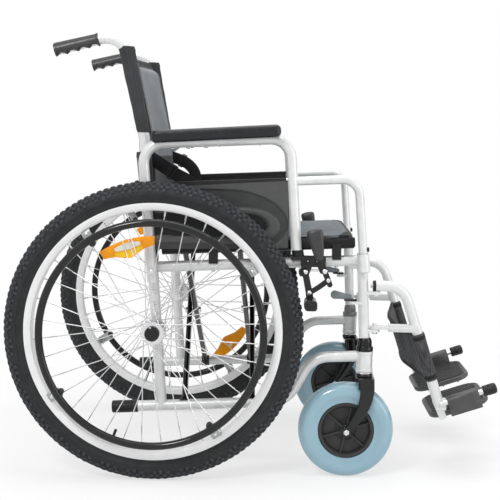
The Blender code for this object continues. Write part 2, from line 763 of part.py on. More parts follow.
def rear_wheel_pieces():
    centre = at(0, WHEEL_Y, WHEEL_R)
    out = Vector((0, -1, 0))
    rim_out = WHEEL_R - TYRE_DEPTH - GAP
    rim_in = rim_out - RIM_DEPTH
    tyre_in = WHEEL_R - TYRE_DEPTH
    half = TYRE_W / 2
    depth = TYRE_DEPTH
    tyre_profile = [
        (tyre_in, -half * 0.60),
        (tyre_in + depth * 0.45, -half),
        (tyre_in + depth * 0.82, -half * 0.74),
        (WHEEL_R, -half * 0.22),
        (WHEEL_R, half * 0.22),
        (tyre_in + depth * 0.82, half * 0.74),
        (tyre_in + depth * 0.45, half),
        (tyre_in, half * 0.60),
    ]
    both(turned(tyre_profile, centre, out, WHEEL_STEPS, ring=True), "rear_tyre", RUBBER, centre)
    rim_half = RIM_W / 2
    rim_profile = [
        (rim_in, -rim_half * 0.4),
        (rim_in + RIM_DEPTH * 0.4, -rim_half),
        (rim_out, -rim_half),
        (rim_out, rim_half),
        (rim_in + RIM_DEPTH * 0.4, rim_half),
        (rim_in, rim_half * 0.4),
    ]
    wheel = turned(rim_profile, centre, out, WHEEL_STEPS, ring=True)
    hub_half = HUB_W / 2
    flange = FLANGE_HALF
    hub_profile = [
        (0, -hub_half),
        (HUB_R, -hub_half),
        (HUB_R, -FLANGE_Y - flange),
        (FLANGE_R, -FLANGE_Y - flange),
        (FLANGE_R, -FLANGE_Y + flange),
        (HUB_R * 0.8, -FLANGE_Y + 3 * flange),
        (HUB_R * 0.8, FLANGE_Y - 3 * flange),
        (FLANGE_R, FLANGE_Y - flange),
        (FLANGE_R, FLANGE_Y + flange),
        (HUB_R, FLANGE_Y + flange),
        (HUB_R, hub_half),
        (0, hub_half),
    ]
    hub = turned(hub_profile, centre, out, HUB_STEPS)
    hub = cut(hub, bore(centre - out * 0.05, centre + out * 0.05, AXLE_R + RUNNING))
    spokes = [spoke(k, centre, out, rim_in) for k in range(SPOKES)]
    wheel = join(wheel, hub, merged(spokes))
    both(wheel, "rear_wheel", BRIGHT, centre)
    handrim(centre, out, rim_in)
    reflector(centre, out)
    axle(centre, out)


def around(centre, out, radius, turn, along=0.0):
    """A point beside the wheel's plane. The turn is measured as seen from outside, from straight ahead."""
    return centre + Vector((math.cos(turn) * radius, 0, math.sin(turn) * radius)) + out * along


def spoke_out(radius):
    """How far the outer spokes stand out of the rim's plane at this radius."""
    rim_in = WHEEL_R - TYRE_DEPTH - GAP - RIM_DEPTH
    low = RIM_W * SPOKE_STAGGER
    return low + (FLANGE_Y - low) * (rim_in - radius) / (rim_in - FLANGE_R)


def spoke(k, centre, out, rim_in):
    """One spoke, from its flange to the rim, leaning forwards or backwards to cross its neighbours."""
    side = 1 if k % 2 else -1
    lean = 1 if (k // 2) % 2 else -1
    rim_turn = math.tau * (k + 0.5) / SPOKES
    hub_turn = rim_turn + lean * math.tau * CROSSINGS * 2 / SPOKES
    flange_face = FLANGE_Y * side + lean * 0.0016
    start = around(centre, out, FLANGE_R - 0.003, hub_turn, flange_face)
    end = around(centre, out, rim_in + 0.004, rim_turn, side * RIM_W * SPOKE_STAGGER)
    return rod(start, end, SPOKE_R, 3)


def merged(parts):
    """The parts in one mesh, which the next join makes one body."""
    bm = bmesh.new()
    for part in parts:
        bm.from_mesh(part.data)
        bpy.data.objects.remove(part, do_unlink=True)
    return keep(bm)


def handrim(centre, out, rim_in):
    profile = [(HANDRIM_R + b, HANDRIM_OUT - a) for a, b in circle(HANDRIM_TUBE_R, 7)]
    ring = turned(profile, centre, out, WHEEL_STEPS, ring=True)
    tabs = []
    for k in range(HANDRIM_TABS):
        turn = HANDRIM_TAB_TURN + math.tau * k / HANDRIM_TABS
        inner = around(centre, out, rim_in + 0.014, turn, RIM_W / 2 + TAB_T / 2 + GAP)
        elbow = around(centre, out, HANDRIM_R + 0.004, turn, HANDRIM_OUT * 0.55)
        outer = around(centre, out, HANDRIM_R, turn, HANDRIM_OUT)
        tangent = Vector((-math.sin(turn), 0, math.cos(turn)))
        path = bent([inner, elbow, outer], 0.006)
        tabs.append(swept(path, lambda i, n: oblong(TAB_W, TAB_T), tangent))
    both(join(ring, *tabs), "handrim", BLACK_PAINT, centre)


def reflector(centre, out):
    """A boat-shaped reflector among the spokes."""
    half_l, half_h = REFLECTOR_L / 2, REFLECTOR_H / 2
    outline = rounded(
        [(-half_l, half_h), (-half_l * 0.72, -half_h), (half_l * 0.72, -half_h), (half_l, half_h)], 0.006, 2
    )
    stand = spoke_out(REFLECTOR_R - half_h) + SPOKE_R + GAP
    middle = around(centre, out, REFLECTOR_R, REFLECTOR_TURN, stand)
    radial = Vector((math.cos(REFLECTOR_TURN), 0, math.sin(REFLECTOR_TURN)))
    tangent = Vector((-radial.z, 0, radial.x))
    bm = bmesh.new()
    faces = [middle + out * t for t in (0, REFLECTOR_T)]
    rings = [[bm.verts.new(face + tangent * a + radial * b) for a, b in outline] for face in faces]
    bridge(bm, rings)
    both(keep(bm), "spoke_reflector", ORANGE, middle)


def axle(centre, out):
    inner = FRAME_Y - WHEEL_Y - TUBE_R - 0.006
    face = HUB_W / 2 + GAP
    profile = [
        (0, inner),
        (AXLE_R - 0.001, inner),
        (AXLE_R, inner + 0.001),
        (AXLE_R, face),
        (AXLE_CAP_R, face),
        (AXLE_CAP_R, face + 0.0015),
        (AXLE_CAP_R * 0.7, face + 0.004),
        (0, face + 0.005),
    ]
    both(turned(profile, centre, out, ROUND_STEPS), "rear_axle", BRIGHT, centre)


def caster_pieces():
    swivel = at(SWIVEL_X, FRAME_Y, 0)
    centre = at(SWIVEL_X - TRAIL, FRAME_Y, CASTER_R)
    up = Vector((0, 0, 1))
    out = Vector((0, -1, 0))
    boot_low = HOUSING_TOP + GAP
    boot_profile = [
        (0, 0),
        (BOOT_R, 0),
        (BOOT_R, 0.004),
        (BOOT_R * 0.9, 0.006),
        (BOOT_R * 0.93, BOOT_H * 0.5),
        (BOOT_R * 0.86, BOOT_H * 0.8),
        (BOOT_R * 0.68, BOOT_H),
        (0, BOOT_H),
    ]
    boot = turned(boot_profile, at(SWIVEL_X, FRAME_Y, boot_low), up, ROUND_STEPS)
    boot = cut(boot, post_rod(TUBE_R + GAP, HOUSING_TOP - 0.02, HOUSING_TOP + 0.06))
    both(boot, "caster_boot", BLACK, at(SWIVEL_X, FRAME_Y, boot_low))
    leg_in = CASTER_TYRE_W / 2 + FORK_CLEAR
    crown_y = leg_in + FORK_LEG_T
    top = FORK_TOP - 0.005
    steps = 5
    start = Vector((SWIVEL_X, top - 0.030))
    bend = Vector((SWIVEL_X, (top + CASTER_R) / 2 - 0.012))
    end = Vector((SWIVEL_X - TRAIL, CASTER_R))
    path = [(SWIVEL_X, top)]
    for i in range(1, steps + 1):
        s = i / steps
        path.append(tuple(start * (1 - s) ** 2 + bend * 2 * s * (1 - s) + end * s * s))
    legs = [
        plate(strip(path, FORK_LEG_W, 0.025), FRAME_Y + side * leg_in, FRAME_Y + side * crown_y)
        for side in (-1, 1)
    ]
    half = FORK_LEG_W / 2
    crown = plate(
        rounded(
            [
                (SWIVEL_X - half, FRAME_Y - crown_y),
                (SWIVEL_X + half, FRAME_Y - crown_y),
                (SWIVEL_X + half, FRAME_Y + crown_y),
                (SWIVEL_X - half, FRAME_Y + crown_y),
            ],
            0.004,
            2,
        ),
        FORK_TOP - 0.010,
        FORK_TOP,
        "XY",
    )
    stem = turned(
        [
            (0, -0.005),
            (HOUSING_R - 0.001, -0.005),
            (HOUSING_R - 0.001, HOUSING_LOW - FORK_TOP - GAP),
            (STEM_R, HOUSING_LOW - FORK_TOP - GAP),
            (STEM_R, HOUSING_TOP - FORK_TOP - 0.005),
            (0, HOUSING_TOP - FORK_TOP - 0.005),
        ],
        at(SWIVEL_X, FRAME_Y, FORK_TOP),
        up,
        ROUND_STEPS,
    )
    bolt_half = crown_y + 0.003
    bolt = rod(centre - out * bolt_half, centre + out * bolt_half, CASTER_BOLT_R, PIN_SIDES)
    heads = []
    for side in (-1, 1):
        ends = [centre + out * side * (bolt_half + reach) for reach in (-0.0035, 0.001)]
        heads.append(rod(*ends, 0.0065, BOLT_HEAD_SIDES))
    fork = join(legs[0], legs[1], crown, stem, bolt, *heads)
    both(fork, "caster_fork", BLACK_PAINT, swivel)
    caster_wheel(centre, out, leg_in)


def caster_wheel(centre, out, leg_in):
    half = CASTER_TYRE_W / 2
    depth = CASTER_R - CASTER_RIM_R
    bed = CASTER_RIM_R + GAP
    profile = [
        (bed, -half * 0.8),
        (bed + depth * 0.4, -half),
        (bed + depth * 0.8, -half * 0.75),
        (CASTER_R, -half * 0.3),
        (CASTER_R, half * 0.3),
        (bed + depth * 0.8, half * 0.75),
        (bed + depth * 0.4, half),
        (bed, half * 0.8),
    ]
    both(turned(profile, centre, out, CASTER_STEPS, ring=True), "caster_tyre", CASTER_BLUE, centre)
    rim_half = half * 0.78
    rim_profile = [
        (CASTER_WELL_R, -rim_half),
        (CASTER_RIM_R, -rim_half),
        (CASTER_RIM_R, rim_half),
        (CASTER_WELL_R, rim_half),
    ]
    rim = turned(rim_profile, centre, out, CASTER_STEPS, ring=True)
    hub_half = leg_in - 0.0015
    hub_profile = [
        (0, -hub_half),
        (CASTER_HUB_R, -hub_half),
        (CASTER_HUB_R * 1.35, -CASTER_WEB_HALF),
        (CASTER_WEB_R, -CASTER_WEB_HALF),
        (CASTER_WEB_R, CASTER_WEB_HALF),
        (CASTER_HUB_R * 1.35, CASTER_WEB_HALF),
        (CASTER_HUB_R, hub_half),
        (0, hub_half),
    ]
    hub = turned(hub_profile, centre, out, ROUND_STEPS)
    ribs = []
    for k in range(CASTER_RIBS):
        turn = math.tau * (k + 0.30) / CASTER_RIBS
        tangent = Vector((-math.sin(turn), 0, math.cos(turn)))
        path = [around(centre, out, r, turn) for r in (CASTER_HUB_R * 0.7, CASTER_WEB_R)]
        along = (path[1] - path[0]).normalized()
        ribs.append(swept([(p, along) for p in path], lambda i, n: oblong(0.004, rim_half * 1.6), tangent))
    rim = join(rim, hub, *ribs)
    rim = cut(rim, rod(centre - out * 0.04, centre + out * 0.04, CASTER_BOLT_R + RUNNING))
    both(rim, "caster_rim", DARK_GREY, centre)


def brake_pieces():
    arm_y = FRAME_Y + SHOE_ARM_OUT
    link_y = arm_y + BRAKE_PLATE_STEP
    lever_y = link_y + BRAKE_PLATE_STEP
    bracket_out = FRAME_Y + BRACKET_OUT
    shelf_x = FRONT_LEG_X - TUBE_R
    body = box(BRACKET_X, (FRAME_Y + 0.002, bracket_out), BRACKET_Z)
    shelf_y = (FRAME_Y + 0.002, ARM_Y + 0.008)
    shelf = box((shelf_x, BRACKET_X[0] + 0.01), shelf_y, (BRACKET_Z[1] - 0.006, BRACKET_Z[1]))
    ears = plate(
        [
            (BRACKET_X[0] + 0.002, BRACKET_Z[0] + 0.004),
            (SHOE_PIVOT[0] - 0.006, SHOE_PIVOT[1] - 0.007),
            (SHOE_PIVOT[0] + 0.007, SHOE_PIVOT[1] - 0.007),
            (LEVER_PIVOT[0] - 0.008, LEVER_PIVOT[1] - 0.006),
            (LEVER_PIVOT[0] + 0.006, LEVER_PIVOT[1] - 0.006),
            (BRACKET_X[1], BRACKET_Z[0] + 0.004),
        ],
        bracket_out - 0.006,
        bracket_out,
    )
    spacers = []
    for pivot, reach in ((SHOE_PIVOT, arm_y), (LEVER_PIVOT, lever_y)):
        x, z = pivot
        face = reach + BRAKE_PLATE_T + GAP
        spacers.append(rod(at(x, bracket_out - 0.003, z), at(x, reach - GAP, z), 0.0055))
        spacers.append(rod(at(x, bracket_out, z), at(x, face, z), PIVOT_R, PIN_SIDES))
        spacers.append(rod(at(x, face, z), at(x, face + 0.0022, z), 0.005, BOLT_HEAD_SIDES))
    rail = side_rail_rod(TUBE_R + GAP, shelf_x - 0.02, BRACKET_X[1] + 0.02)
    bracket = cut(join(body, shelf, ears), rail)
    both(join(bracket, *spacers), "brake_bracket", BLACK_PAINT, at(BRACKET_X[0], FRAME_Y, BRACKET_Z[0]))
    brake_lever(lever_y, link_y)
    brake_link(link_y)
    shoe_arm(arm_y, link_y)


def pivot_hole(point, y):
    return rod(at(point[0], y - 0.02, point[1]), at(point[0], y + 0.02, point[1]), PIVOT_R + RUNNING)


def brake_lever(lever_y, link_y):
    lower = Vector(LEVER_PIVOT) + (Vector(LEVER_LINK) - Vector(LEVER_PIVOT)) * 1.45
    bar = strip([GRIP_LOW, LEVER_PIVOT, tuple(lower)], 0.013, 0.011)
    arm = plate(bar, lever_y, lever_y + BRAKE_PLATE_T)
    arm = cut(arm, pivot_hole(LEVER_PIVOT, lever_y))
    grip_y = lever_y + 0.005
    low, high = at(GRIP_LOW[0], grip_y, GRIP_LOW[1]), at(GRIP_HIGH[0], grip_y, GRIP_HIGH[1])
    along = (high - low).normalized()
    path = [(low + (high - low) * s, along) for s in GRIP_SHARES]
    turns = [math.tau * k / 10 for k in range(10)]

    def section(i, count):
        return [(GRIP_DEPTHS[i] * math.cos(a), GRIP_WIDTHS[i] * math.sin(a)) for a in turns]

    grip = swept(path, section)
    x, z = LEVER_LINK
    pin = rod(at(x, link_y + 0.0005, z), at(x, lever_y + BRAKE_PLATE_T + 0.001, z), 0.0025, PIN_SIDES)
    both(join(arm, grip, pin), "brake_lever", BLACK, at(LEVER_PIVOT[0], lever_y, LEVER_PIVOT[1]))


def brake_link(link_y):
    bar = strip([LEVER_LINK, SHOE_LINK], 0.010, 0.010, round_start=True)
    link = plate(bar, link_y, link_y + BRAKE_PLATE_T)
    link = cut(link, pivot_hole(LEVER_LINK, link_y), pivot_hole(SHOE_LINK, link_y))
    both(link, "brake_link", BLACK_PAINT, at(LEVER_LINK[0], link_y, LEVER_LINK[1]))


def shoe_arm(arm_y, link_y):
    middle = (sum(SHOE_X) / 2, sum(SHOE_Z) / 2)
    arm = plate(strip([middle, SHOE_LINK, SHOE_PIVOT], 0.015, 0.014), arm_y, arm_y + BRAKE_PLATE_T)
    arm = cut(arm, pivot_hole(SHOE_PIVOT, arm_y))
    radius = (SHOE_Z[1] - SHOE_Z[0]) / 2
    corners = [(SHOE_X[0], SHOE_Z[0]), (SHOE_X[1], SHOE_Z[0]), (SHOE_X[1], SHOE_Z[1]), (SHOE_X[0], SHOE_Z[1])]
    shoe = plate(rounded(corners, radius * 0.6, 2), arm_y - 0.002, SHOE_OUT)
    x, z = SHOE_LINK
    pin = rod(at(x, arm_y, z), at(x, link_y + BRAKE_PLATE_T - 0.0005, z), 0.0025, PIN_SIDES)
    both(join(arm, shoe, pin), "brake_shoe_arm", BLACK_PAINT, at(SHOE_PIVOT[0], arm_y, SHOE_PIVOT[1]))


def hanger_point(z):
    """A point on the hanger tube's slanting run, which also leans in towards the middle."""
    x = HANGER_CORNER_X + (HANGER_Z - z) * math.tan(HANGER_SLOPE)
    share = (HANGER_Z - z) / (HANGER_Z - HANGER_LOW)
    return at(x, FRAME_Y + (HANGER_LOW_Y - FRAME_Y) * share, z)


def plate_matrix():
    """From the footplate's own frame, X along its hinge axis and Z square to the plate, to the world."""
    place = Matrix.Translation(at(PLATE_AXIS_X, PLATE_AXIS_Y, PLATE_AXIS_Z))
    return place @ Matrix.Rotation(-HANGER_SLOPE, 4, "Y")


def plate_axis_point(x):
    return at(x, PLATE_AXIS_Y, PLATE_AXIS_Z + (x - PLATE_AXIS_X) * math.tan(HANGER_SLOPE))


def hanger():
    hinge = at(HINGE_X, FRAME_Y, HANGER_Z)
    main = tube([hinge, hanger_point(HANGER_Z), hanger_point(HANGER_LOW)], HANGER_BEND)
    bevel = 0.003
    head_profile = [
        (0, -TUBE_R),
        (HINGE_R, -TUBE_R),
        (HINGE_R, TUBE_R - bevel),
        (HINGE_R - bevel, TUBE_R),
        (0, TUBE_R),
    ]
    head = turned(head_profile, hinge, Vector((0, 0, 1)), ROUND_STEPS)
    arm_end = hanger_point(TONGUE_Z)
    bar = strip([(arm_end.x, FRAME_Y - 0.004), (HINGE_X, FRAME_Y)], 0.018, 0.020)
    tongue = plate(bar, TONGUE_Z, TONGUE_Z + TONGUE_T, "XY")
    arm_z = (TONGUE_Z - 0.006, TONGUE_Z + 0.010)
    arm = box((HINGE_X + 0.028, arm_end.x), (FRAME_Y - 0.012, FRAME_Y + 0.004), arm_z)
    bar_top, bar_low = hanger_point(HANGER_LOW), hanger_point(INNER_BAR_LOW)
    bar_y = PLATE_Y[1] + INNER_BAR_R + 0.002
    inner = rod(at(bar_top.x, bar_y, bar_top.z), at(bar_low.x, bar_y, bar_low.z), INNER_BAR_R, PIN_SIDES)
    pin = rod(plate_axis_point(PLATE_PIN_START), plate_axis_point(PLATE_PIN_END - 0.004), PLATE_PIN_R)
    clamp_low = hanger_point(HANGER_LOW - 0.012)
    clamp = box(
        (clamp_low.x - 0.007, clamp_low.x + 0.011),
        (HANGER_LOW_Y - 0.003, PLATE_AXIS_Y + 0.008),
        (HANGER_LOW - 0.022, HANGER_LOW + 0.006),
    )
    made = join(main, head, tongue, arm, inner, pin, clamp)
    holes = []
    for low, high in ((HANGER_Z - 0.03, HANGER_Z + GAP), (TONGUE_Z - 0.01, TONGUE_Z + 0.02)):
        holes.append(rod(at(HINGE_X, FRAME_Y, low), at(HINGE_X, FRAME_Y, high), HINGE_PIN_R + RUNNING))
    both(cut(made, *holes), "hanger", SILVER, hinge)


def footplate():
    """The plate in its own frame: Y towards the middle, with cross ribs on top and a hinge block."""
    reach_out = PLATE_AXIS_Y - PLATE_Y[1]
    reach_in = PLATE_AXIS_Y - PLATE_Y[0]
    rim = [(PLATE_FRONT, reach_out), (PLATE_FRONT, reach_in), (PLATE_BACK, reach_in), (PLATE_BACK, reach_out)]
    outline = rounded(rim, PLATE_CORNER_R)
    bm = bmesh.new()
    low, high = -PLATE_DROP - PLATE_T, -PLATE_DROP
    bridge(bm, [[bm.verts.new((x, y, z)) for x, y in outline] for z in (low, high)])
    made = keep(bm)
    block_start = (BLOCK_START - PLATE_AXIS_X) / math.cos(HANGER_SLOPE)
    ribs = []
    count = int((reach_in - reach_out - 0.03) / PLATE_RIB_PITCH)
    for k in range(count):
        y = reach_out + 0.022 + PLATE_RIB_PITCH * k
        rib_x = (PLATE_BACK + RIB_INSET, PLATE_FRONT - RIB_INSET)
        ribs.append(local_box(rib_x, (y, y + 0.004), (high - 0.001, high + 0.0012)))
    block_x = (block_start, block_start + BLOCK_L)
    block = local_box(block_x, (-BLOCK_W / 2, BLOCK_W / 2), (low + 0.001, BLOCK_UP))
    made = join(made, block, *ribs)
    made = cut(made, rod(Vector((-0.2, 0, 0)), Vector((0.1, 0, 0)), PLATE_PIN_R + RUNNING))
    made.data.transform(plate_matrix())
    both(made, "footplate", DARK_GREY, at(PLATE_AXIS_X, PLATE_AXIS_Y, PLATE_AXIS_Z))


def local_box(x, y, z):
    bm = bmesh.new()
    outline = [(x[0], y[0]), (x[1], y[0]), (x[1], y[1]), (x[0], y[1])]
    bridge(bm, [[bm.verts.new((a, b, t)) for a, b in outline] for t in z])
    return keep(bm)


def bumper():
    along = Vector((math.cos(HANGER_SLOPE), 0, math.sin(HANGER_SLOPE)))
    start = plate_axis_point(PLATE_PIN_END - BUMPER_L)
    profile = [
        (0, 0),
        (BUMPER_R - 0.002, 0),
        (BUMPER_R, 0.003),
        (BUMPER_R, BUMPER_L - 0.005),
        (BUMPER_R - 0.004, BUMPER_L),
        (0, BUMPER_L),
    ]
    made = turned(profile, start, along, TUBE_SIDES)
    made = cut(made, rod(start - along * 0.02, plate_axis_point(PLATE_PIN_END - 0.0035), PLATE_PIN_R + GAP))
    both(made, "bumper", BLACK, start)


def calf_strap():
    """Half of the strap behind the calves: a sleeve on the hanger and a band that sags to the middle."""
    top, low = hanger_point(STRAP_TOP), hanger_point(STRAP_LOW)
    along = (top - low).normalized()
    sleeve = rod(low, top, STRAP_R)
    middle = (top + low) / 2
    half = (top - low).length / 2
    steps = 8
    path = []
    for i in range(steps + 1):
        s = i / steps
        y = abs(middle.y) * (1 - s) + HALF_GAP * s
        x = middle.x - STRAP_R * 0.5 - STRAP_SAG * math.sin(math.pi / 2 * s)
        slope = STRAP_SAG * math.pi / 2 * math.cos(math.pi / 2 * s) / abs(middle.y)
        path.append((at(x, y, middle.z), Vector((-slope, 1, 0)).normalized()))
    path[-1] = (path[-1][0], Vector((0, 1, 0)))
    band = swept(path, lambda i, n: oblong(2 * half, STRAP_T), along)
    strap = join(band, sleeve)
    strap = cut(strap, rod(low - along * 0.02, top + along * 0.02, TUBE_R + GAP))
    both(strap, "calf_strap", BLACK_CLOTH, middle)


def release_lever():
    bar = strip([(RELEASE_X - 0.020, FRAME_Y), (RELEASE_X, FRAME_Y)], 0.010, 0.014)
    foot = plate(bar, RELEASE_Z, RELEASE_Z + 0.004, "XY")
    hole_ends = [at(RELEASE_X, FRAME_Y, RELEASE_Z + reach) for reach in (-0.01, 0.01)]
    foot = cut(foot, rod(*hole_ends, PIVOT_R + RUNNING))
    back = RELEASE_X - PADDLE_L
    low = RELEASE_Z + 0.003
    front = RELEASE_X - 0.010
    corners = [(back, low + 0.002), (front, low), (front, low + 0.012), (back, low + PADDLE_H)]
    paddle = plate(rounded(corners, 0.003, 2), FRAME_Y - 0.0025, FRAME_Y + 0.0025)
    both(join(foot, paddle), "release_lever", BLACK, at(RELEASE_X, FRAME_Y, RELEASE_Z))


def across_rails(x, y, up, origin_z=LOWER_RAIL_Z):
    """A point given by its place along the rails, its Y and its height square to them."""
    along = Vector((math.cos(PITCH), 0, math.sin(PITCH)))
    square = Vector((-math.sin(PITCH), 0, math.cos(PITCH)))
    return Vector((0, 0, origin_z)) + along * x + square * up + Vector((0, y, 0))


def seat_point(x, y, up):
    """A point given by its place along the seat rails and its height square to them."""
    return across_rails(x, y, up, SIDE_RAIL_Z + SEAT_RAIL_RISE)


def brace(name, side, arm_offsets):
    """Two crossed-over arms, from sleeves on one lower rail up to the seat rail on the other side."""
    rise = (SIDE_RAIL_Z + SEAT_RAIL_RISE - LOWER_RAIL_Z) * math.cos(PITCH)
    middle = rise / 2
    low_y, high_y = side * FRAME_Y, -side * FRAME_Y
    along = Vector((math.cos(PITCH), 0, math.sin(PITCH)))
    slant = (across_rails(0, high_y, rise) - across_rails(0, low_y, 0)).normalized()
    half_w, half_h = BRACE_ARM_W / 2, BRACE_ARM_H / 2
    outline = rounded([(-half_w, -half_h), (half_w, -half_h), (half_w, half_h), (-half_w, half_h)], 0.004, 1)
    parts = []
    for centre, offset in zip(BRACE_XS, arm_offsets):
        x = centre + offset * BRACE_SPACING / 2
        start, end = across_rails(x, low_y, 0), across_rails(x, high_y, rise)
        parts.append(swept([(start, slant), (end, slant)], lambda i, n: outline, along))
        parts.append(rod(start - along * SLEEVE_HALF, start + along * SLEEVE_HALF, SLEEVE_R))
    seat_rail = rod(seat_point(SEAT_RAIL_START, high_y, 0), seat_point(SEAT_RAIL_END, high_y, 0), TUBE_R)
    made = join(seat_rail, *parts)
    rail_bore = bore(across_rails(-0.2, low_y, 0), across_rails(0.4, low_y, 0), TUBE_R + RUNNING)
    made = cut(made, rail_bore)
    if side < 0:
        bolts = []
        reach = (BRACE_SPACING + BRACE_ARM_W) / 2
        for centre in BRACE_XS:
            bolt_ends = [across_rails(centre + x, 0, middle) for x in (-reach - 0.003, reach + 0.004)]
            head_ends = [across_rails(centre + x, 0, middle) for x in (reach + GAP, reach + 0.005)]
            bolts.append(rod(*bolt_ends, BRACE_BOLT_R, PIN_SIDES))
            bolts.append(rod(*head_ends, 0.007, BOLT_HEAD_SIDES))
        finish(join(made, *bolts), name, BLACK_PAINT, across_rails(0, low_y, 0))
    else:
        bolt_bore = rod(across_rails(-0.2, 0, middle), across_rails(0.4, 0, middle), BRACE_BOLT_R + RUNNING)
        finish(cut(made, bolt_bore), name, BLACK_PAINT, across_rails(0, 0, middle))


def seat_half():
    """Half of the seat: a padded sling over its rail, crowned towards the middle."""
    depth = SEAT_FRONT - SEAT_BACK
    xs = [0.0, 0.03, 0.1, 0.3, 0.5, 0.7, 0.88, 0.97, 1.0]
    ys = [0.0, 0.25, 0.5, 0.7, 0.84, 0.93, 0.98, 1.0]
    bm = bmesh.new()
    rings = []
    for s in xs:
        x = SEAT_BACK + depth * s
        end = 1.0 - max(0.0, abs(s - 0.5) * 2 - 0.9) / 0.1 * 0.35
        ring = []
        for t in ys:
            y = HALF_GAP + (SEAT_OUT - HALF_GAP) * t
            swell = math.sin(math.pi * min(1.0, 1.15 * (1 - t) + 0.02)) if t > 0.45 else 1.0
            crown = SEAT_CROWN * swell * math.sin(math.pi * (0.08 + 0.84 * s)) ** 0.5
            edge = SEAT_ROLL * max(0.0, t - 0.93) / 0.07
            ring.append((y, SEAT_LOW + (SEAT_EDGE - edge + crown - SEAT_LOW) * end))
        bottom = [(y, SEAT_LOW) for y, _ in reversed(ring)]
        rings.append([bm.verts.new(seat_point(x, -y, up)) for y, up in ring + bottom])
    bridge(bm, rings)
    made = keep(bm)
    made = cut(made, rod(seat_point(-0.1, -FRAME_Y, 0), seat_point(0.6, -FRAME_Y, 0), TUBE_R + GAP))
    both(made, "seat", GREY_CLOTH, seat_point(SEAT_BACK, -FRAME_Y, 0))


def back_half():
    """Half of the backrest: sleeves on the cane above and below its bend, and a sling between them."""
    notch = (NOTCH_LOW + NOTCH_STEP, NOTCH_TOP - NOTCH_STEP)
    lower = [BACK_LOW + (NOTCH_LOW - BACK_LOW) * share for share in (0.27, 0.63)]
    upper = [NOTCH_TOP + (BACK_TOP - NOTCH_TOP) * share for share in (0.34, 0.68)]
    heights = [BACK_LOW, *lower, NOTCH_LOW, *notch, NOTCH_TOP, *upper, BACK_TOP]
    ys = [0.0, 0.3, 0.6, 0.8, 0.93, 1.0]
    bm = bmesh.new()
    rings = []
    for z in heights:
        reach = FRAME_Y - TUBE_R - (NOTCH_IN if z in notch else 0.0)
        front, rear = [], []
        for t in ys:
            y = HALF_GAP + (reach - HALF_GAP) * t
            sag = BACK_SAG * math.cos(math.pi / 2 * t) ** 0.7
            x = cane_x(z) - sag
            front.append((x + BACK_T / 2, y))
            rear.append((x - BACK_T / 2, y))
        rings.append([bm.verts.new(at(x, y, z)) for x, y in front + rear[::-1]])
    bridge(bm, rings)
    sling = keep(bm)

    def sleeve(low, high, low_r, high_r):
        levels = [low, high] if high <= CANE_BEND_Z or low >= CANE_BEND_Z else [low, CANE_BEND_Z, high]
        path = [(at(cane_x(z), FRAME_Y, z), Vector((0, 0, 1))) for z in levels]
        radii = [low_r, high_r]
        return swept(path, lambda i, n: [(a * SLEEVE_CLOTH_R, b * radii[min(i, 1)]) for a, b in circle(1.0)])

    sleeves = [
        sleeve(BACK_LOW, NOTCH_LOW, SLEEVE_CLOTH_R, SLEEVE_LOW_X),
        sleeve(NOTCH_TOP, BACK_TOP, SLEEVE_CLOTH_R, SLEEVE_TOP_X),
    ]
    made = join(sling, *sleeves)
    cane = cane_tube(at(cane_x(0.3), FRAME_Y, 0.3), 0.1, TUBE_R + GAP)
    both(cut(made, cane), "back", GREY_CLOTH, at(cane_x(BACK_LOW), FRAME_Y, BACK_LOW))


def centre_lengthwise():
    """Moves the whole chair along X, so that the origin is under the middle of its length."""
    bpy.context.view_layer.update()
    pieces = list(bpy.context.scene.collection.objects)
    ends = [(piece.matrix_world @ Vector(corner)).x for piece in pieces for corner in piece.bound_box]
    middle = (min(ends) + max(ends)) / 2
    for piece in pieces:
        piece.location.x -= middle


side_frame()
rear_post()
push_grip()
tip_cap()
armrest_frame()
arm_latch()
arm_pad()
side_guard()
rear_wheel_pieces()
caster_pieces()
brake_pieces()
hanger()
footplate()
bumper()
calf_strap()
release_lever()
brace("brace_a", -1, (-1, 1))
brace("brace_b", 1, (1, -1))
seat_half()
back_half()
centre_lengthwise()
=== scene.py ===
"""Looks of the folding wheelchair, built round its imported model.

Metres, X forward, Y to the sitter's left, Z up. Places along X are measured from the rear axle and moved by
SHIFT, and side is -1 for the right-hand side and +1 for the left. Profiles inside mm() are in millimetres.
"""

import json
from math import acos, atan2, copysign, cos, hypot, pi, radians, sin, sqrt, tan, tau

import bmesh
import bpy
from mathutils import Matrix, Vector

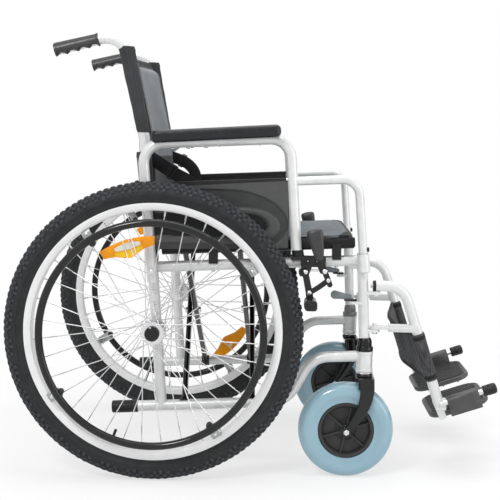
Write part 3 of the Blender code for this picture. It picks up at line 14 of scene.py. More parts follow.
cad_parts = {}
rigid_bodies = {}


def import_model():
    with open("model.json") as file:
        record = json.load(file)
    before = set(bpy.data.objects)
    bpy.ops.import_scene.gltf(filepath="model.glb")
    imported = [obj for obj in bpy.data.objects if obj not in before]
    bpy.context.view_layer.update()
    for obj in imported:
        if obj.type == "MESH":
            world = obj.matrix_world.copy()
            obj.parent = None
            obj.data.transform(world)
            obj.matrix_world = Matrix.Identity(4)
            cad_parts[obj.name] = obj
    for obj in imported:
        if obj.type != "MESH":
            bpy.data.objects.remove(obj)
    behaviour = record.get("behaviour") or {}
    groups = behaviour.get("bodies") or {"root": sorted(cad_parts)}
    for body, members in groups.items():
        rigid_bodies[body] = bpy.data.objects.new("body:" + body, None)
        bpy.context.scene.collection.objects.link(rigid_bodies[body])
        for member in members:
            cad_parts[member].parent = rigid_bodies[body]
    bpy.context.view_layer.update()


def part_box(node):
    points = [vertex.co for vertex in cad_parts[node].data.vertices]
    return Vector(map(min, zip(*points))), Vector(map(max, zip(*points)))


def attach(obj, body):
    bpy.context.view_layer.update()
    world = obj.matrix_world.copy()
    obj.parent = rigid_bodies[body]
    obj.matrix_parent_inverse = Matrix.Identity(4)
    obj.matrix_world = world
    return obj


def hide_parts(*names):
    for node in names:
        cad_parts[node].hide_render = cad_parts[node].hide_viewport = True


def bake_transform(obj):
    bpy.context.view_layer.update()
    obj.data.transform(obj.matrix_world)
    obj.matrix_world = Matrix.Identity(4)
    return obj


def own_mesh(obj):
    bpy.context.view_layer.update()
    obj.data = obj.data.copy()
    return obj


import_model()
tyre_low, tyre_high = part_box("rear_tyre_right")
SHIFT = (tyre_low[0] + tyre_high[0]) / 2
SIDES = {-1: "right", 1: "left"}

# The frame's measures
TUBE_R = 0.011
FRAME_Y = 0.246
ARM_Y = 0.2705
PITCH = radians(3.13)
WHEEL_R = 0.303
WHEEL_Y = 0.31
LOWER_RAIL_Z = 0.1377
SIDE_RAIL_Z = 0.4275
SEAT_RAIL_Z = 0.4635
SWIVEL_X = 0.43
HOUSING_TOP = 0.2632
POST_TOP = 0.4655
CANE_LEAN = radians(4.33)
CANE_TOP_LEAN = radians(12.0)
CANE_BEND_Z = 0.69
HANDLE_Z = 0.9006
GRIP_DROOP = radians(14.7)
ARM_PIVOT_Z = 0.421
ARM_LEG_LEAN = radians(4.98)
PAD_TUBE_Z = 0.6811
FRONT_LEG_X = 0.28425
FRONT_LEG_LOW = 0.4708
COLLAR_X = 0.423
COLLAR_LOW = 0.4285
BAR_Z = 0.5947
HANGER_SLOPE = radians(18.7)
HANGER_Z = 0.398
HANGER_LOW = 0.157
HINGE_X = 0.4495
RELEASE_X = 0.405
PLATE_X, PLATE_Y, PLATE_Z = 0.693, 0.228, 0.1845
CASTER_X, CASTER_Z = SWIVEL_X - 0.0348, 0.0985
REAR_HUB = (0, WHEEL_Y, WHEEL_R)
CASTER_HUB = (CASTER_X, FRAME_Y, CASTER_Z)
MIDDLE_GAP = 0.00003

UP = Vector((0, 0, 1))
AHEAD = Vector((1, 0, 0))
SIDEWAYS = Vector((0, 1, 0))
RAIL_WAY = Vector((cos(PITCH), 0, sin(PITCH)))
GRIP_WAY = Vector((-cos(GRIP_DROOP), 0, -sin(GRIP_DROOP)))
HINGE_WAY = Vector((cos(HANGER_SLOPE), 0, sin(HANGER_SLOPE)))


# Materials


def feed(tree, made, feeds):
    """Sets a node's inputs, or links them where the value is another node's output."""
    for key, value in feeds.items():
        if isinstance(value, bpy.types.NodeSocket):
            tree.links.new(value, made.inputs[key])
        else:
            made.inputs[key].default_value = value


def node(tree, kind, feeds, **settings):
    made = tree.nodes.new(kind)
    for key, value in settings.items():
        setattr(made, key, value)
    feed(tree, made, feeds)
    return made


def shader(name):
    made = bpy.data.materials.new(name)
    made.use_nodes = True
    return made, made.node_tree, made.node_tree.nodes["Principled BSDF"]


def places(tree):
    return node(tree, "ShaderNodeTexCoord", {}).outputs["Object"]


def noisy(tree, scale, detail=3.0):
    feeds = {"Vector": places(tree), "Scale": scale, "Detail": detail, "Roughness": 0.5}
    return node(tree, "ShaderNodeTexNoise", feeds).outputs["Fac"]


def ramp(tree, value, low, high, start=0.3, end=0.7):
    made = node(tree, "ShaderNodeValToRGB", {"Fac": value})
    for point, place, tone in zip(made.color_ramp.elements, (start, end), (low, high)):
        point.position = place
        point.color = (*tone, 1) if isinstance(tone, tuple) else (tone, tone, tone, 1)
    return made.outputs["Color"]


def joined(tree, operation, *values):
    """The sum, product or greatest of some values."""
    made = values[0]
    for value in values[1:]:
        made = node(tree, "ShaderNodeMath", {0: made, 1: value}, operation=operation).outputs[0]
    return made


def bump(tree, height, strength):
    feeds = {"Height": height, "Strength": strength, "Distance": 0.0004}
    return node(tree, "ShaderNodeBump", feeds).outputs["Normal"]


def surface(name, low, high, rough, metallic=0, scale=60, grain=900, strength=0.15, coat=0, gloss=0.5):
    """A plain finish: colour and roughness vary a little, and a fine grain roughens the surface."""
    made, tree, shade = shader(name)
    feeds = {
        "Base Color": ramp(tree, noisy(tree, scale), low, high),
        "Roughness": ramp(tree, noisy(tree, scale * 2.3, 4.0), *rough),
        "Metallic": metallic,
        "Coat Weight": coat,
        "Coat Roughness": 0.12,
        "Specular IOR Level": gloss,
        "Normal": bump(tree, noisy(tree, grain, 2.0), strength),
    }
    feed(tree, shade, feeds)
    return made


def cloth(name, low, high, thread=0.0011, strength=0.5, sheen=0.25):
    """Woven cloth: crossed sets of threads, with blotches of wear."""
    made, tree, shade = shader(name)
    waves = []
    for axis, phase in (("X", 0.0), ("Y", 0.5), ("Z", 0.25)):
        feeds = {"Vector": places(tree), "Scale": 0.314 / thread, "Distortion": 0.6, "Detail": 1.0}
        feeds["Phase Offset"] = phase
        waves.append(node(tree, "ShaderNodeTexWave", feeds, bands_direction=axis).outputs["Fac"])
    weave = joined(tree, "MULTIPLY", joined(tree, "ADD", *waves), 0.33)
    blotches = ramp(tree, noisy(tree, 18.0, 5.0), low, high)
    colours = {"Factor": 0.5, 6: ramp(tree, weave, low, high, 0.2, 0.8), 7: blotches}
    feeds = {
        "Base Color": node(tree, "ShaderNodeMix", colours, data_type="RGBA").outputs[2],
        "Roughness": 0.88,
        "Sheen Weight": sheen,
        "Sheen Roughness": 0.4,
        "Specular IOR Level": 0.25,
        "Normal": bump(tree, weave, strength),
    }
    feed(tree, shade, feeds)
    return made


def plain(name, low, high, rough, scale=60, grain=1400, strength=0.2, gloss=0.3):
    """A surface with no metal and no coat."""
    return surface(name, low, high, rough, 0, scale, grain, strength, 0, gloss)


PAINT = surface(
    "silver_paint", (0.66, 0.665, 0.665), (0.74, 0.745, 0.745), (0.28, 0.36), 0.25, 40, 1600, 0.04, 0.3
)
ALLOY = surface("satin_alloy", (0.8, 0.8, 0.805), (0.86, 0.86, 0.865), (0.32, 0.4), 0.3, 30, 1200, 0.0)
ZINC = surface("zinc_plate", (0.34, 0.35, 0.35), (0.44, 0.45, 0.45), (0.3, 0.42), 0.8, 120, 1200, 0.1)
STEEL = surface("bright_steel", (0.66, 0.66, 0.67), (0.78, 0.78, 0.79), (0.18, 0.28), 1.0, 80, 1500, 0.02)
BLACK_PAINT = plain(
    "black_paint", (0.004, 0.0042, 0.0045), (0.0075, 0.008, 0.0082), (0.07, 0.12), 40, 1200, 0.03, 0.42
)
GLOSSY = plain(
    "glossy_black", (0.004, 0.004, 0.0045), (0.007, 0.007, 0.0075), (0.06, 0.1), 40, 900, 0.02, 0.35
)
PLASTIC = plain("black_plastic", (0.01, 0.01, 0.011), (0.016, 0.016, 0.017), (0.36, 0.46))
GREY_PLASTIC = plain(
    "dark_grey_plastic", (0.026, 0.026, 0.027), (0.036, 0.036, 0.037), (0.36, 0.46), 60, 1400, 0.25, 0.35
)
GUARD = plain("guard_plastic", (0.062, 0.063, 0.063), (0.074, 0.075, 0.075), (0.4, 0.5), 40, 1500, 0.25, 0.35)
# A darker copy of the guard plastic: painted shade for the sloping band between the guard's arcs.
SHADE_BAND = plain("guard_band_painted_shade", (0.034, 0.035, 0.035), (0.042, 0.043, 0.043), (0.4, 0.5), 40, 1500, 0.25)
FOOT = plain("footplate_plastic", (0.044, 0.044, 0.046), (0.062, 0.062, 0.065), (0.34, 0.44), gloss=0.55)
HOLLOW = plain(
    "hollow_plastic", (0.012, 0.013, 0.013), (0.018, 0.019, 0.019), (0.55, 0.65), 60, 1400, 0.3, 0.2
)
PAD_FOAM = plain("pad_skin", (0.007, 0.008, 0.009), (0.013, 0.014, 0.016), (0.2, 0.28), 50, 1100, 0.15, 0.35)
TYRE = plain("tyre_rubber", (0.019, 0.02, 0.021), (0.028, 0.029, 0.03), (0.55, 0.68), 50, 700, 0.3, 0.25)
# The same rubber as the casing, coloured lighter: painted light on the tread blocks.
LIT_TREAD = plain("tread_rubber_painted_light", (0.029, 0.03, 0.034), (0.046, 0.049, 0.054), (0.6, 0.74), 90, 700, 0.4)
CASTER = surface(
    "caster_rubber", (0.245, 0.395, 0.475), (0.285, 0.45, 0.53), (0.16, 0.24), 0, 14, 600, 0.03, 0.4
)
GRIP = plain("grip_rubber", (0.024, 0.024, 0.026), (0.036, 0.036, 0.039), (0.3, 0.42), 60, 1000, 0.25, 0.55)
ORANGE = surface("orange_lens", (0.92, 0.3, 0.0), (1.0, 0.4, 0.0), (0.1, 0.2), 0, 90, 600, 0.1, 0.1, 0.3)
YELLOW = surface("yellow_lens", (0.95, 0.5, 0.0), (1.0, 0.62, 0.01), (0.1, 0.2), 0, 90, 600, 0.1, 0.1, 0.3)
CLEAR = surface("clear_lens", (0.8, 0.78, 0.66), (0.92, 0.9, 0.8), (0.1, 0.2), 0, 90, 500, 0.2, 0.6)
GREY_CLOTH = cloth("grey_cloth", (0.125, 0.14, 0.152), (0.205, 0.222, 0.238))
BLACK_CLOTH = cloth("black_cloth", (0.01, 0.01, 0.011), (0.026, 0.026, 0.028), sheen=0.1)
CHARCOAL = cloth("charcoal_cloth", (0.022, 0.023, 0.024), (0.06, 0.062, 0.064), 0.0016, 0.8, 0.12)
SEAT_CLOTH = cloth("seat_cloth", (0.082, 0.098, 0.112), (0.15, 0.17, 0.188))
EDGE_MESH = cloth("edge_mesh", (0.05, 0.052, 0.055), (0.135, 0.14, 0.146), 0.003, 1.0, 0.12)
MESH_CLOTH = cloth("mesh_cloth", (0.006, 0.006, 0.007), (0.125, 0.125, 0.13), 0.0034, 1.0, 0.05)
WEBBING = cloth("webbing", (0.007, 0.007, 0.008), (0.02, 0.02, 0.022), 0.0016, 0.8, 0.1)
PADDLE = surface("grey_paddle", (0.125, 0.15, 0.162), (0.195, 0.222, 0.235), (0.35, 0.45), 0, 60, 1200, 0.15)
# Grey plastic for the left caster boot, where the right one is glossy black.
LEFT_BOOT_GREY = plain("left_boot_grey", (0.17, 0.175, 0.175), (0.26, 0.265, 0.265), (0.25, 0.35), 60, 1200, 0.1, 0.5)


# Places on the frame


def rail_z(height, x):
    return height + x * tan(PITCH)


def cane_x(z):
    lower = -tan(CANE_LEAN) * (min(z, CANE_BEND_Z) - WHEEL_R)
    return lower - tan(CANE_TOP_LEAN) * max(z - CANE_BEND_Z, 0.0)


def post_x(z):
    return SWIVEL_X - tan(radians(2.96)) * (z - HOUSING_TOP)


def arm_leg_x(z):
    return cane_x(ARM_PIVOT_Z) - tan(ARM_LEG_LEAN) * (z - ARM_PIVOT_Z)


def front_leg_x(z):
    return FRONT_LEG_X - tan(CANE_LEAN) * (z - FRONT_LEG_LOW)


def drop_tube_x(z):
    return COLLAR_X - tan(ARM_LEG_LEAN) * (z - COLLAR_LOW)


def meeting(height, tube_x):
    """Where a rail of the frame's pitch meets a leaning tube, as x and z."""
    z = height
    for _ in range(6):
        z = rail_z(height, tube_x(z))
    return tube_x(z), z


def hanger_xyz(z):
    share = (HANGER_Z - z) / (HANGER_Z - HANGER_LOW)
    return 0.506 + (HANGER_Z - z) * tan(HANGER_SLOPE), FRAME_Y - 0.024 * share, z


def across_rails(x, y, up, origin_z=SEAT_RAIL_Z):
    """A point given by its place along the rails, its Y and its height square to them."""
    c, s = cos(PITCH), sin(PITCH)
    return Vector((x * c - up * s + SHIFT, y, origin_z + x * s + up * c))


# Outlines and paths


def mm(*numbers):
    """Numbers in millimetres, as pairs in metres."""
    return [(a / 1000, b / 1000) for a, b in zip(numbers[::2], numbers[1::2])]


def both(half):
    """A profile and its mirror image."""
    return half + [(r, -y) for r, y in half[::-1]]


def limited(value):
    return max(0.0, min(1.0, value))


def bulged(value, power):
    return copysign(abs(value) ** power, value)


def between(values, share):
    """The value at a share of the way along a row of numbers."""
    spot = share * (len(values) - 1)
    k = min(int(spot), len(values) - 2)
    return values[k] * (k + 1 - spot) + values[k + 1] * (spot - k)


def steps_between(start, end, step):
    return [start + step * k for k in range(int((end - start) / step) + 1)]


def circle(radius, sides=20):
    turns = [tau * (k + 0.5) / sides for k in range(sides)]
    return [(radius * cos(a), radius * sin(a)) for a in turns]


def rect(a, b):
    return [(a[0], b[0]), (a[1], b[0]), (a[1], b[1]), (a[0], b[1])]


def rounded(corners, radius, steps=6):
    out = []
    for k, corner in enumerate(corners):
        here = Vector(corner)
        before = (here - Vector(corners[k - 1])).normalized()
        after = (Vector(corners[(k + 1) % len(corners)]) - here).normalized()
        turn = atan2(before.x * after.y - before.y * after.x, before.dot(after))
        start = here - before * radius * tan(abs(turn) / 2)
        centre = start + Vector((-before.y, before.x)) * copysign(radius, turn)
        for i in range(steps + 1):
            out.append(tuple(centre + Matrix.Rotation(turn * i / steps, 2) @ (start - centre)))
    return out


def oblong(width, height, corner, steps=2):
    a, b = width / 2, height / 2
    return rounded([(a, -b), (a, b), (-a, b), (-a, -b)], corner, steps)


def strip(path, widths, steps=12, round_start=False):
    """The outline of a bar along a 2D path, with a round far end."""
    left, right = [], []
    for i, point in enumerate(path):
        along = Vector(path[min(i + 1, len(path) - 1)]) - Vector(path[max(i - 1, 0)])
        along.normalize()
        side = Vector((-along.y, along.x)) * between(widths, i / (len(path) - 1)) / 2
        left.append(tuple(Vector(point) + side))
        right.append(tuple(Vector(point) - side))

    def fan(middle, first):
        spoke = Vector(first) - Vector(middle)
        return [tuple(Vector(middle) + Matrix.Rotation(-pi * i / steps, 2) @ spoke) for i in range(1, steps)]

    outline = left + fan(path[-1], left[-1]) + right[::-1]
    return outline + fan(path[0], right[0]) if round_start else outline


def bent(corners, bends, fine=9):
    """Points and directions along straight runs, with an arc of the given radius at each corner."""
    if not isinstance(bends, (list, tuple)):
        bends = [bends] * (len(corners) - 2)
    runs = [(b - a).normalized() for a, b in zip(corners, corners[1:])]
    path = [(corners[0], runs[0])]
    for corner, before, after, radius in zip(corners[1:-1], runs, runs[1:], bends):
        turn = before.angle(after)
        axis = before.cross(after).normalized()
        start = corner - before * radius * tan(turn / 2)
        centre = start + axis.cross(before) * radius
        steps = max(2, round(fine * turn / radians(60)))
        for i in range(steps + 1):
            spin = Matrix.Rotation(turn * i / steps, 3, axis)
            path.append((centre + spin @ (start - centre), spin @ before))
    path.append((corners[-1], runs[-1]))
    return path


def smooth(points, steps=5):
    """A curve through points, as points and directions."""
    out = []
    ends = [points[0] * 2 - points[1], *points, points[-1] * 2 - points[-2]]
    for a, b, c, d in zip(ends, ends[1:], ends[2:], ends[3:]):
        for i in range(steps):
            t = i / steps
            square, cube = a * 2 - b * 5 + c * 4 - d, b * 3 - a - c * 3 + d
            out.append(0.5 * (b * 2 + (c - a) * t + square * t * t + cube * t**3))
    out.append(points[-1])
    ways = [(out[min(i + 1, len(out) - 1)] - out[max(i - 1, 0)]).normalized() for i in range(len(out))]
    return list(zip(out, ways))


# Mesh making


def linked(mesh, name, looks):
    for look in looks:
        mesh.materials.append(look)
    made = bpy.data.objects.new(name, mesh)
    bpy.context.scene.collection.objects.link(made)
    return made


def object_of(bm, name, looks):
    bmesh.ops.recalc_face_normals(bm, faces=bm.faces)
    mesh = bpy.data.meshes.new(name)
    bm.to_mesh(mesh)
    bm.free()
    return linked(mesh, name, looks)


class Piece:
    """One visual piece. Its parts are gathered in one mesh, each with its own material."""

    def __init__(self, side=0):
        self.side = side or 1
        self.tag = "_" + SIDES[side] if side else ""
        self.out = SIDEWAYS * self.side
        self.bm = bmesh.new()
        self.looks = []

    def at(self, x, y, z):
        return Vector((x + SHIFT, self.side * y, z))

    def on(self, x, z, y=FRAME_Y):
        return self.at(x, y, z)

    def down(self, tube_x, y, *heights):
        """Points in the middle of a leaning tube."""
        return [self.at(tube_x(z), y, z) for z in heights]

    def around(self, radius, turn, out, hub=REAR_HUB):
        """A point round an axle. turn runs from ahead upwards, and out away from the chair's middle."""
        return self.at(hub[0] + radius * cos(turn), hub[1] + out, hub[2] + radius * sin(turn))

    def index(self, look):
        if look not in self.looks:
            self.looks.append(look)
        return self.looks.index(look)

    def rings(self, rings, look, closed=False):
        made = [[self.bm.verts.new(p) for p in ring] for ring in rings]
        caps = [] if closed else [ring for ring in (made[0][::-1], made[-1]) if len(ring) > 1]
        outlines = []
        for first, second in zip(made, made[1:] + made[: int(closed)]):
            count = max(len(first), len(second))
            for i in range(count):
                j = (i + 1) % count
                if len(first) == 1:
                    outlines.append((first[0], second[j], second[i]))
                elif len(second) == 1:
                    outlines.append((first[i], first[j], second[0]))
                else:
                    outlines.append((first[i], first[j], second[j], second[i]))
        for outline in outlines + caps:
            self.bm.faces.new(outline).material_index = self.index(look)

    def sweep(self, path, section, look, across=SIDEWAYS):
        rings = []
        for i, (point, along) in enumerate(path):
            u = (across - along * across.dot(along)).normalized()
            v = along.cross(u)
            outline = section(i / (len(path) - 1)) if callable(section) else section
            rings.append([point + u * a + v * b for a, b in outline])
        self.rings(rings, look)

    def tube(self, corners, bends, sides=20, radius=TUBE_R):
        self.sweep(bent(corners, bends), circle(radius, sides), PAINT)

    def rod(self, start, end, radius, look=STEEL, sides=20, bevel=0.0):
        along = (end - start).normalized()
        across = SIDEWAYS if abs(along.y) < 0.7 else AHEAD
        length = (end - start).length
        profile = [(radius, bevel), (radius, length - bevel)]
        if bevel > 0:
            profile = [(radius - bevel, 0), *profile, (radius - bevel, length)]
        u = (across - along * across.dot(along)).normalized()
        v = along.cross(u)
        rings = [[start + along * d + u * a + v * b for a, b in circle(r, sides)] for r, d in profile]
        self.rings(rings, look)

    def pin(self, x, z, low, high, radius, look=STEEL, sides=14, bevel=0.0):
        """A rod across the chair, from one Y to another."""
        self.rod(self.at(x, low, z), self.at(x, high, z), radius, look, sides, bevel)

    def turned(self, profile, centre, steps, look, axis=None, closed=False):
        axis = self.out if axis is None else axis.normalized()
        start = -UP if abs(axis.z) < 0.9 else AHEAD
        u = (start - axis * axis.dot(start)).normalized()
        v = axis.cross(u)
        turns = [tau * k / steps for k in range(steps)]
        rings = []
        for radius, along in profile:
            base = centre + axis * along
            spokes = [(u * cos(a) + v * sin(a)) * radius for a in turns]
            rings.append([base] if radius < 1e-7 else [base + spoke for spoke in spokes])
        self.rings(rings, look, closed)

    def ring(self, profile, centre, steps, look, axis=None):
        self.turned(profile, centre, steps, look, axis, True)

    def plate(self, outline, low, high, look, plane="XZ"):
        """A flat outline with a thickness, low and high being Y in the XZ plane, Z in XY and X in YZ."""
        place = {
            "XZ": lambda a, b, t: self.at(a, t, b),
            "XY": lambda a, b, t: self.at(a, b, t),
            "YZ": lambda a, b, t: self.at(t, a, b),
        }[plane]
        self.rings([[place(a, b, t) for a, b in outline] for t in (low, high)], look)

    def box(self, x, y, z, look):
        self.plate(rect(x, z), y[0], y[1], look)

    def head(self, centre, radius, height, axis=None, look=STEEL):
        """A screw head: a low dome."""
        profile = [(radius, 0), (radius * 0.96, height * 0.4), (radius * 0.7, height * 0.85), (0.0, height)]
        self.turned(profile, centre, 16, look, axis)

    def bolt(self, centre, radius, height, axis=None):
        """A bolt head: a hexagon with a bevelled top."""
        profile = [(radius, 0), (radius, height * 0.8), (radius * 0.86, height), (0, height)]
        self.turned(profile, centre, 6, STEEL, axis)

    def form(self, name, bevel=0.0, angle=35.0):
        made = object_of(self.bm, name + self.tag, self.looks)
        made.data.shade_smooth()
        made.data.set_sharp_from_angle(angle=radians(angle))
        if bevel > 0:
            edge = made.modifiers.new("bevel", "BEVEL")
            edge.width = bevel
            edge.segments = 2
            edge.limit_method = "ANGLE"
            edge.angle_limit = radians(40)
            edge.harden_normals = False
        return made

    def done(self, node_name, body, bevel=0.0, angle=35.0, name=None):
        """The finished piece, on its body and in place of its node, after which it is named by default."""
        made = self.form(name or node_name + "_skin", bevel, angle)
        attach(made, body + self.tag)
        if node_name:
            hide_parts(node_name + self.tag)
        return made


# Side frame and back cane


def side_frame(side):
    p = Piece(side)
    front_x, front_z, end_x = 0.321, 0.2465, SWIVEL_X - 0.009
    rail = [(x, rail_z(LOWER_RAIL_Z, x)) for x in (-0.085, 0.272)]
    rail += [(front_x, front_z), (end_x, front_z + (end_x - front_x) * tan(PITCH))]
    p.tube([p.on(x, z) for x, z in rail], 0.06)
    rail_back = cane_x(SIDE_RAIL_Z) + 0.002
    p.rod(p.on(rail_back, rail_z(SIDE_RAIL_Z, rail_back)), p.on(*meeting(SIDE_RAIL_Z, post_x)), TUBE_R, PAINT)
    p.rod(*p.down(post_x, FRAME_Y, 0.255, POST_TOP), TUBE_R, PAINT, 20, 0.001)
    housing = mm(0, 218.7, 15.8, 218.7, 17.5, 220.4, 17.5, 226.2, 16.8, 227)
    housing += mm(16.8, 256, 17.5, 256.8, 17.5, 262, 16, 263.2, 0, 263.2)
    p.turned(housing, p.on(SWIVEL_X, 0), 32, PAINT, UP)
    p.rod(*p.down(drop_tube_x, ARM_Y, COLLAR_LOW, POST_TOP), 0.0125, PAINT, 24, 0.0012)
    p.rod(*p.down(drop_tube_x, ARM_Y, COLLAR_LOW - 0.0004, POST_TOP + 0.0004), 0.0102, PLASTIC)
    web_x = post_x(0.44)
    p.box((web_x - 0.006, web_x + 0.006), (FRAME_Y + 0.005, ARM_Y - 0.006), (0.4315, 0.4625), PAINT)
    turns = [pi * k / 12 for k in range(13)]
    hollow = [(0.0136 * cos(turn), 0.0362 - 0.012 * sin(turn)) for turn in turns]
    cup = mm(-13.6, 4, 13.6, 4, 15.8, 18, 15.8, 36, 13.6, 36) + hollow + mm(-15.8, 36, -15.8, 18)
    for x in (0.115, 0.36704):
        low = rail_z(SIDE_RAIL_Z, x)
        p.plate([(FRAME_Y + y, low + z) for y, z in cup], x - 0.009, x + 0.009, PLASTIC, "YZ")
        p.head(p.on(x, low - TUBE_R + 0.0005), 0.0048, 0.004, -UP)
    for top, pin_top in ((HANGER_Z - TUBE_R - 0.0003, HANGER_Z), (0.3087, 0.318)):
        ear = strip([(post_x(top), FRAME_Y), (HINGE_X, FRAME_Y)], (0.02, 0.02), 10)
        p.plate(ear, top - 0.006, top, PAINT, "XY")
        p.rod(p.on(HINGE_X, top), p.on(HINGE_X, pin_top), 0.004, STEEL, 12)
        p.bolt(p.on(HINGE_X, top - 0.006), 0.006, 0.004, -UP)
    outline = strip([(post_x(0.366), FRAME_Y), (RELEASE_X, FRAME_Y)], (0.02, 0.02), 10)
    p.plate(outline, 0.3597, 0.3657, PAINT, "XY")
    p.rod(p.on(RELEASE_X, 0.362), p.on(RELEASE_X, 0.372), 0.003, STEEL, 12)
    p.done("side_frame", "side_frame", 0.0006)


def rear_post(side):
    p = Piece(side)
    foot, knee, corner = p.down(cane_x, FRAME_Y, 0.142, CANE_BEND_Z, HANDLE_Z)
    p.tube([foot, knee, corner, corner + GRIP_WAY * 0.134], [0.1, 0.047], 22)
    receiver = mm(0, 0, 11.5, 0, 13, 1.5, 13, 27, 12.2, 27.2, 0, 27.2)
    p.turned(receiver, p.on(0, WHEEL_R), 28, PAINT)
    for point in p.down(cane_x, FRAME_Y + TUBE_R - 0.0006, WHEEL_R + 0.05, WHEEL_R + 0.074):
        p.head(point, 0.0042, 0.0022)
    x = cane_x(ARM_PIVOT_Z)
    p.pin(x, ARM_PIVOT_Z, FRAME_Y, ARM_Y - TUBE_R - 0.0003, 0.0075, PAINT, 20)
    p.bolt(p.at(x, ARM_Y + TUBE_R + 0.0003, ARM_PIVOT_Z), 0.007, 0.004)
    p.head(p.at(x, ARM_Y + TUBE_R + 0.004, ARM_PIVOT_Z), 0.0042, 0.0016)
    p.done("rear_post", "side_frame")


def push_grip(side):
    """A ribbed grip with waves for the fingers underneath, and a flange at its front."""
    p = Piece(side)
    start = p.on(cane_x(HANDLE_Z), HANDLE_Z) + GRIP_WAY * 0.052
    length, count = 0.0925, 84

    def section(share):
        radius = 0.0124 + 0.0024 * share - (0.0016 if share < 0.02 or share > 0.98 else 0.0)
        wave = 0.0052 * abs(sin(pi * 4 * share)) * (0.5 + 0.5 * share)
        out = []
        for a, b in circle(radius, 28):
            under = max(b / radius, 0.0) if 0.02 < share < 0.98 else 0.0
            ribbed = round(share * count) % 2 and -0.4 < b / radius < 0.8 and 0.06 < share < 0.96
            rib = 1.028 if ribbed else 1.0
            out.append((a * rib, b * rib - wave * under**1.2))
        return out

    p.sweep([(start + GRIP_WAY * length * k / count, GRIP_WAY) for k in range(count + 1)], section, GRIP)
    flange = mm(0, 0, 12.2, 0, 13.6, 1, 13.6, 3.5, 12.6, 4.5, 0, 4.5)
    p.turned(flange, start - GRIP_WAY * 0.0004, 28, GRIP, GRIP_WAY)
    p.done("push_grip", "side_frame", 0, 50)


def tip_cap(side):
    p = Piece(side)
    start = p.on(-0.085, rail_z(LOWER_RAIL_Z, -0.085)) - RAIL_WAY * 0.0055
    profile = mm(0, 0, 10.2, 0, 12.2, 0.8, 12.9, 2.5, 12.9, 44)
    profile += mm(12.6, 44.8, 12.6, 46.2, 12.9, 47, 12.9, 53, 12.4, 54, 0, 54)
    p.turned(profile, start, 28, PLASTIC, RAIL_WAY)
    p.done("tip_cap", "side_frame")


# Armrest


def armrest(side):
    p = Piece(side)
    rear, front = meeting(PAD_TUBE_Z, arm_leg_x), meeting(PAD_TUBE_Z, front_leg_x)
    loop = ((arm_leg_x(0.3985), 0.3985), rear, front, (FRONT_LEG_X, FRONT_LEG_LOW))
    p.tube([p.on(x, z, ARM_Y) for x, z in loop], 0.042, 22)
    bar = (meeting(BAR_Z, front_leg_x), meeting(BAR_Z, drop_tube_x), (drop_tube_x(0.449), 0.449))
    p.tube([p.on(x, z, ARM_Y) for x, z in bar], 0.035, 20, 0.009)
    p.rod(*p.down(front_leg_x, ARM_Y, 0.4586, 0.474), 0.0097, PLASTIC, 20, 0.001)
    p.done("armrest_frame", "armrest", name="armrest_skin")


def arm_pad(side):
    """The moulded pad, with a crowned top, a parting line and screws underneath."""
    p = Piece(side)
    slope = radians(3.9)
    along = Vector((cos(slope), 0, sin(slope)))
    width, depth, top_z, rear_x = 0.05, 0.0256, 0.7058, -0.0116
    start = p.at(rear_x, ARM_Y + width / 2 - TUBE_R + 0.001, top_z - depth / 2)
    length = 0.2598 / cos(slope)

    def placed(share):
        return 0.5 - 0.5 * cos(pi * share)

    def section(share):
        inset = min(placed(share), 1 - placed(share)) * length
        turned_in = max(1 - inset / 0.014, 0.0)
        drawn_in = max(1 - inset / 0.0105, 0.0)
        wide = width / 2 - 0.011 * (1 - sqrt(1 - turned_in**2))
        tall = depth / 2 - 0.0098 * (1 - sqrt(1 - drawn_in**2))
        out = []
        for turn in [tau * (k + 0.5) / 40 for k in range(40)]:
            c, s = cos(turn), sin(turn)
            parting = 0.988 if abs(s) < 0.12 else 1.0
            out.append((bulged(c, 0.42) * wide * parting, bulged(s, 0.62 if s > 0 else 0.4) * tall))
        return out

    p.sweep([(start + along * length * placed(k / 40), along) for k in range(41)], section, PAD_FOAM)
    for x in (0.03, 0.062, 0.098, 0.206):
        z = top_z - depth + tan(slope) * (x - rear_x) - 0.0002
        p.head(p.at(x, ARM_Y - 0.0001, z - TUBE_R * 1.05), 0.0045, 0.0028, -UP)
    p.done("arm_pad", "armrest")


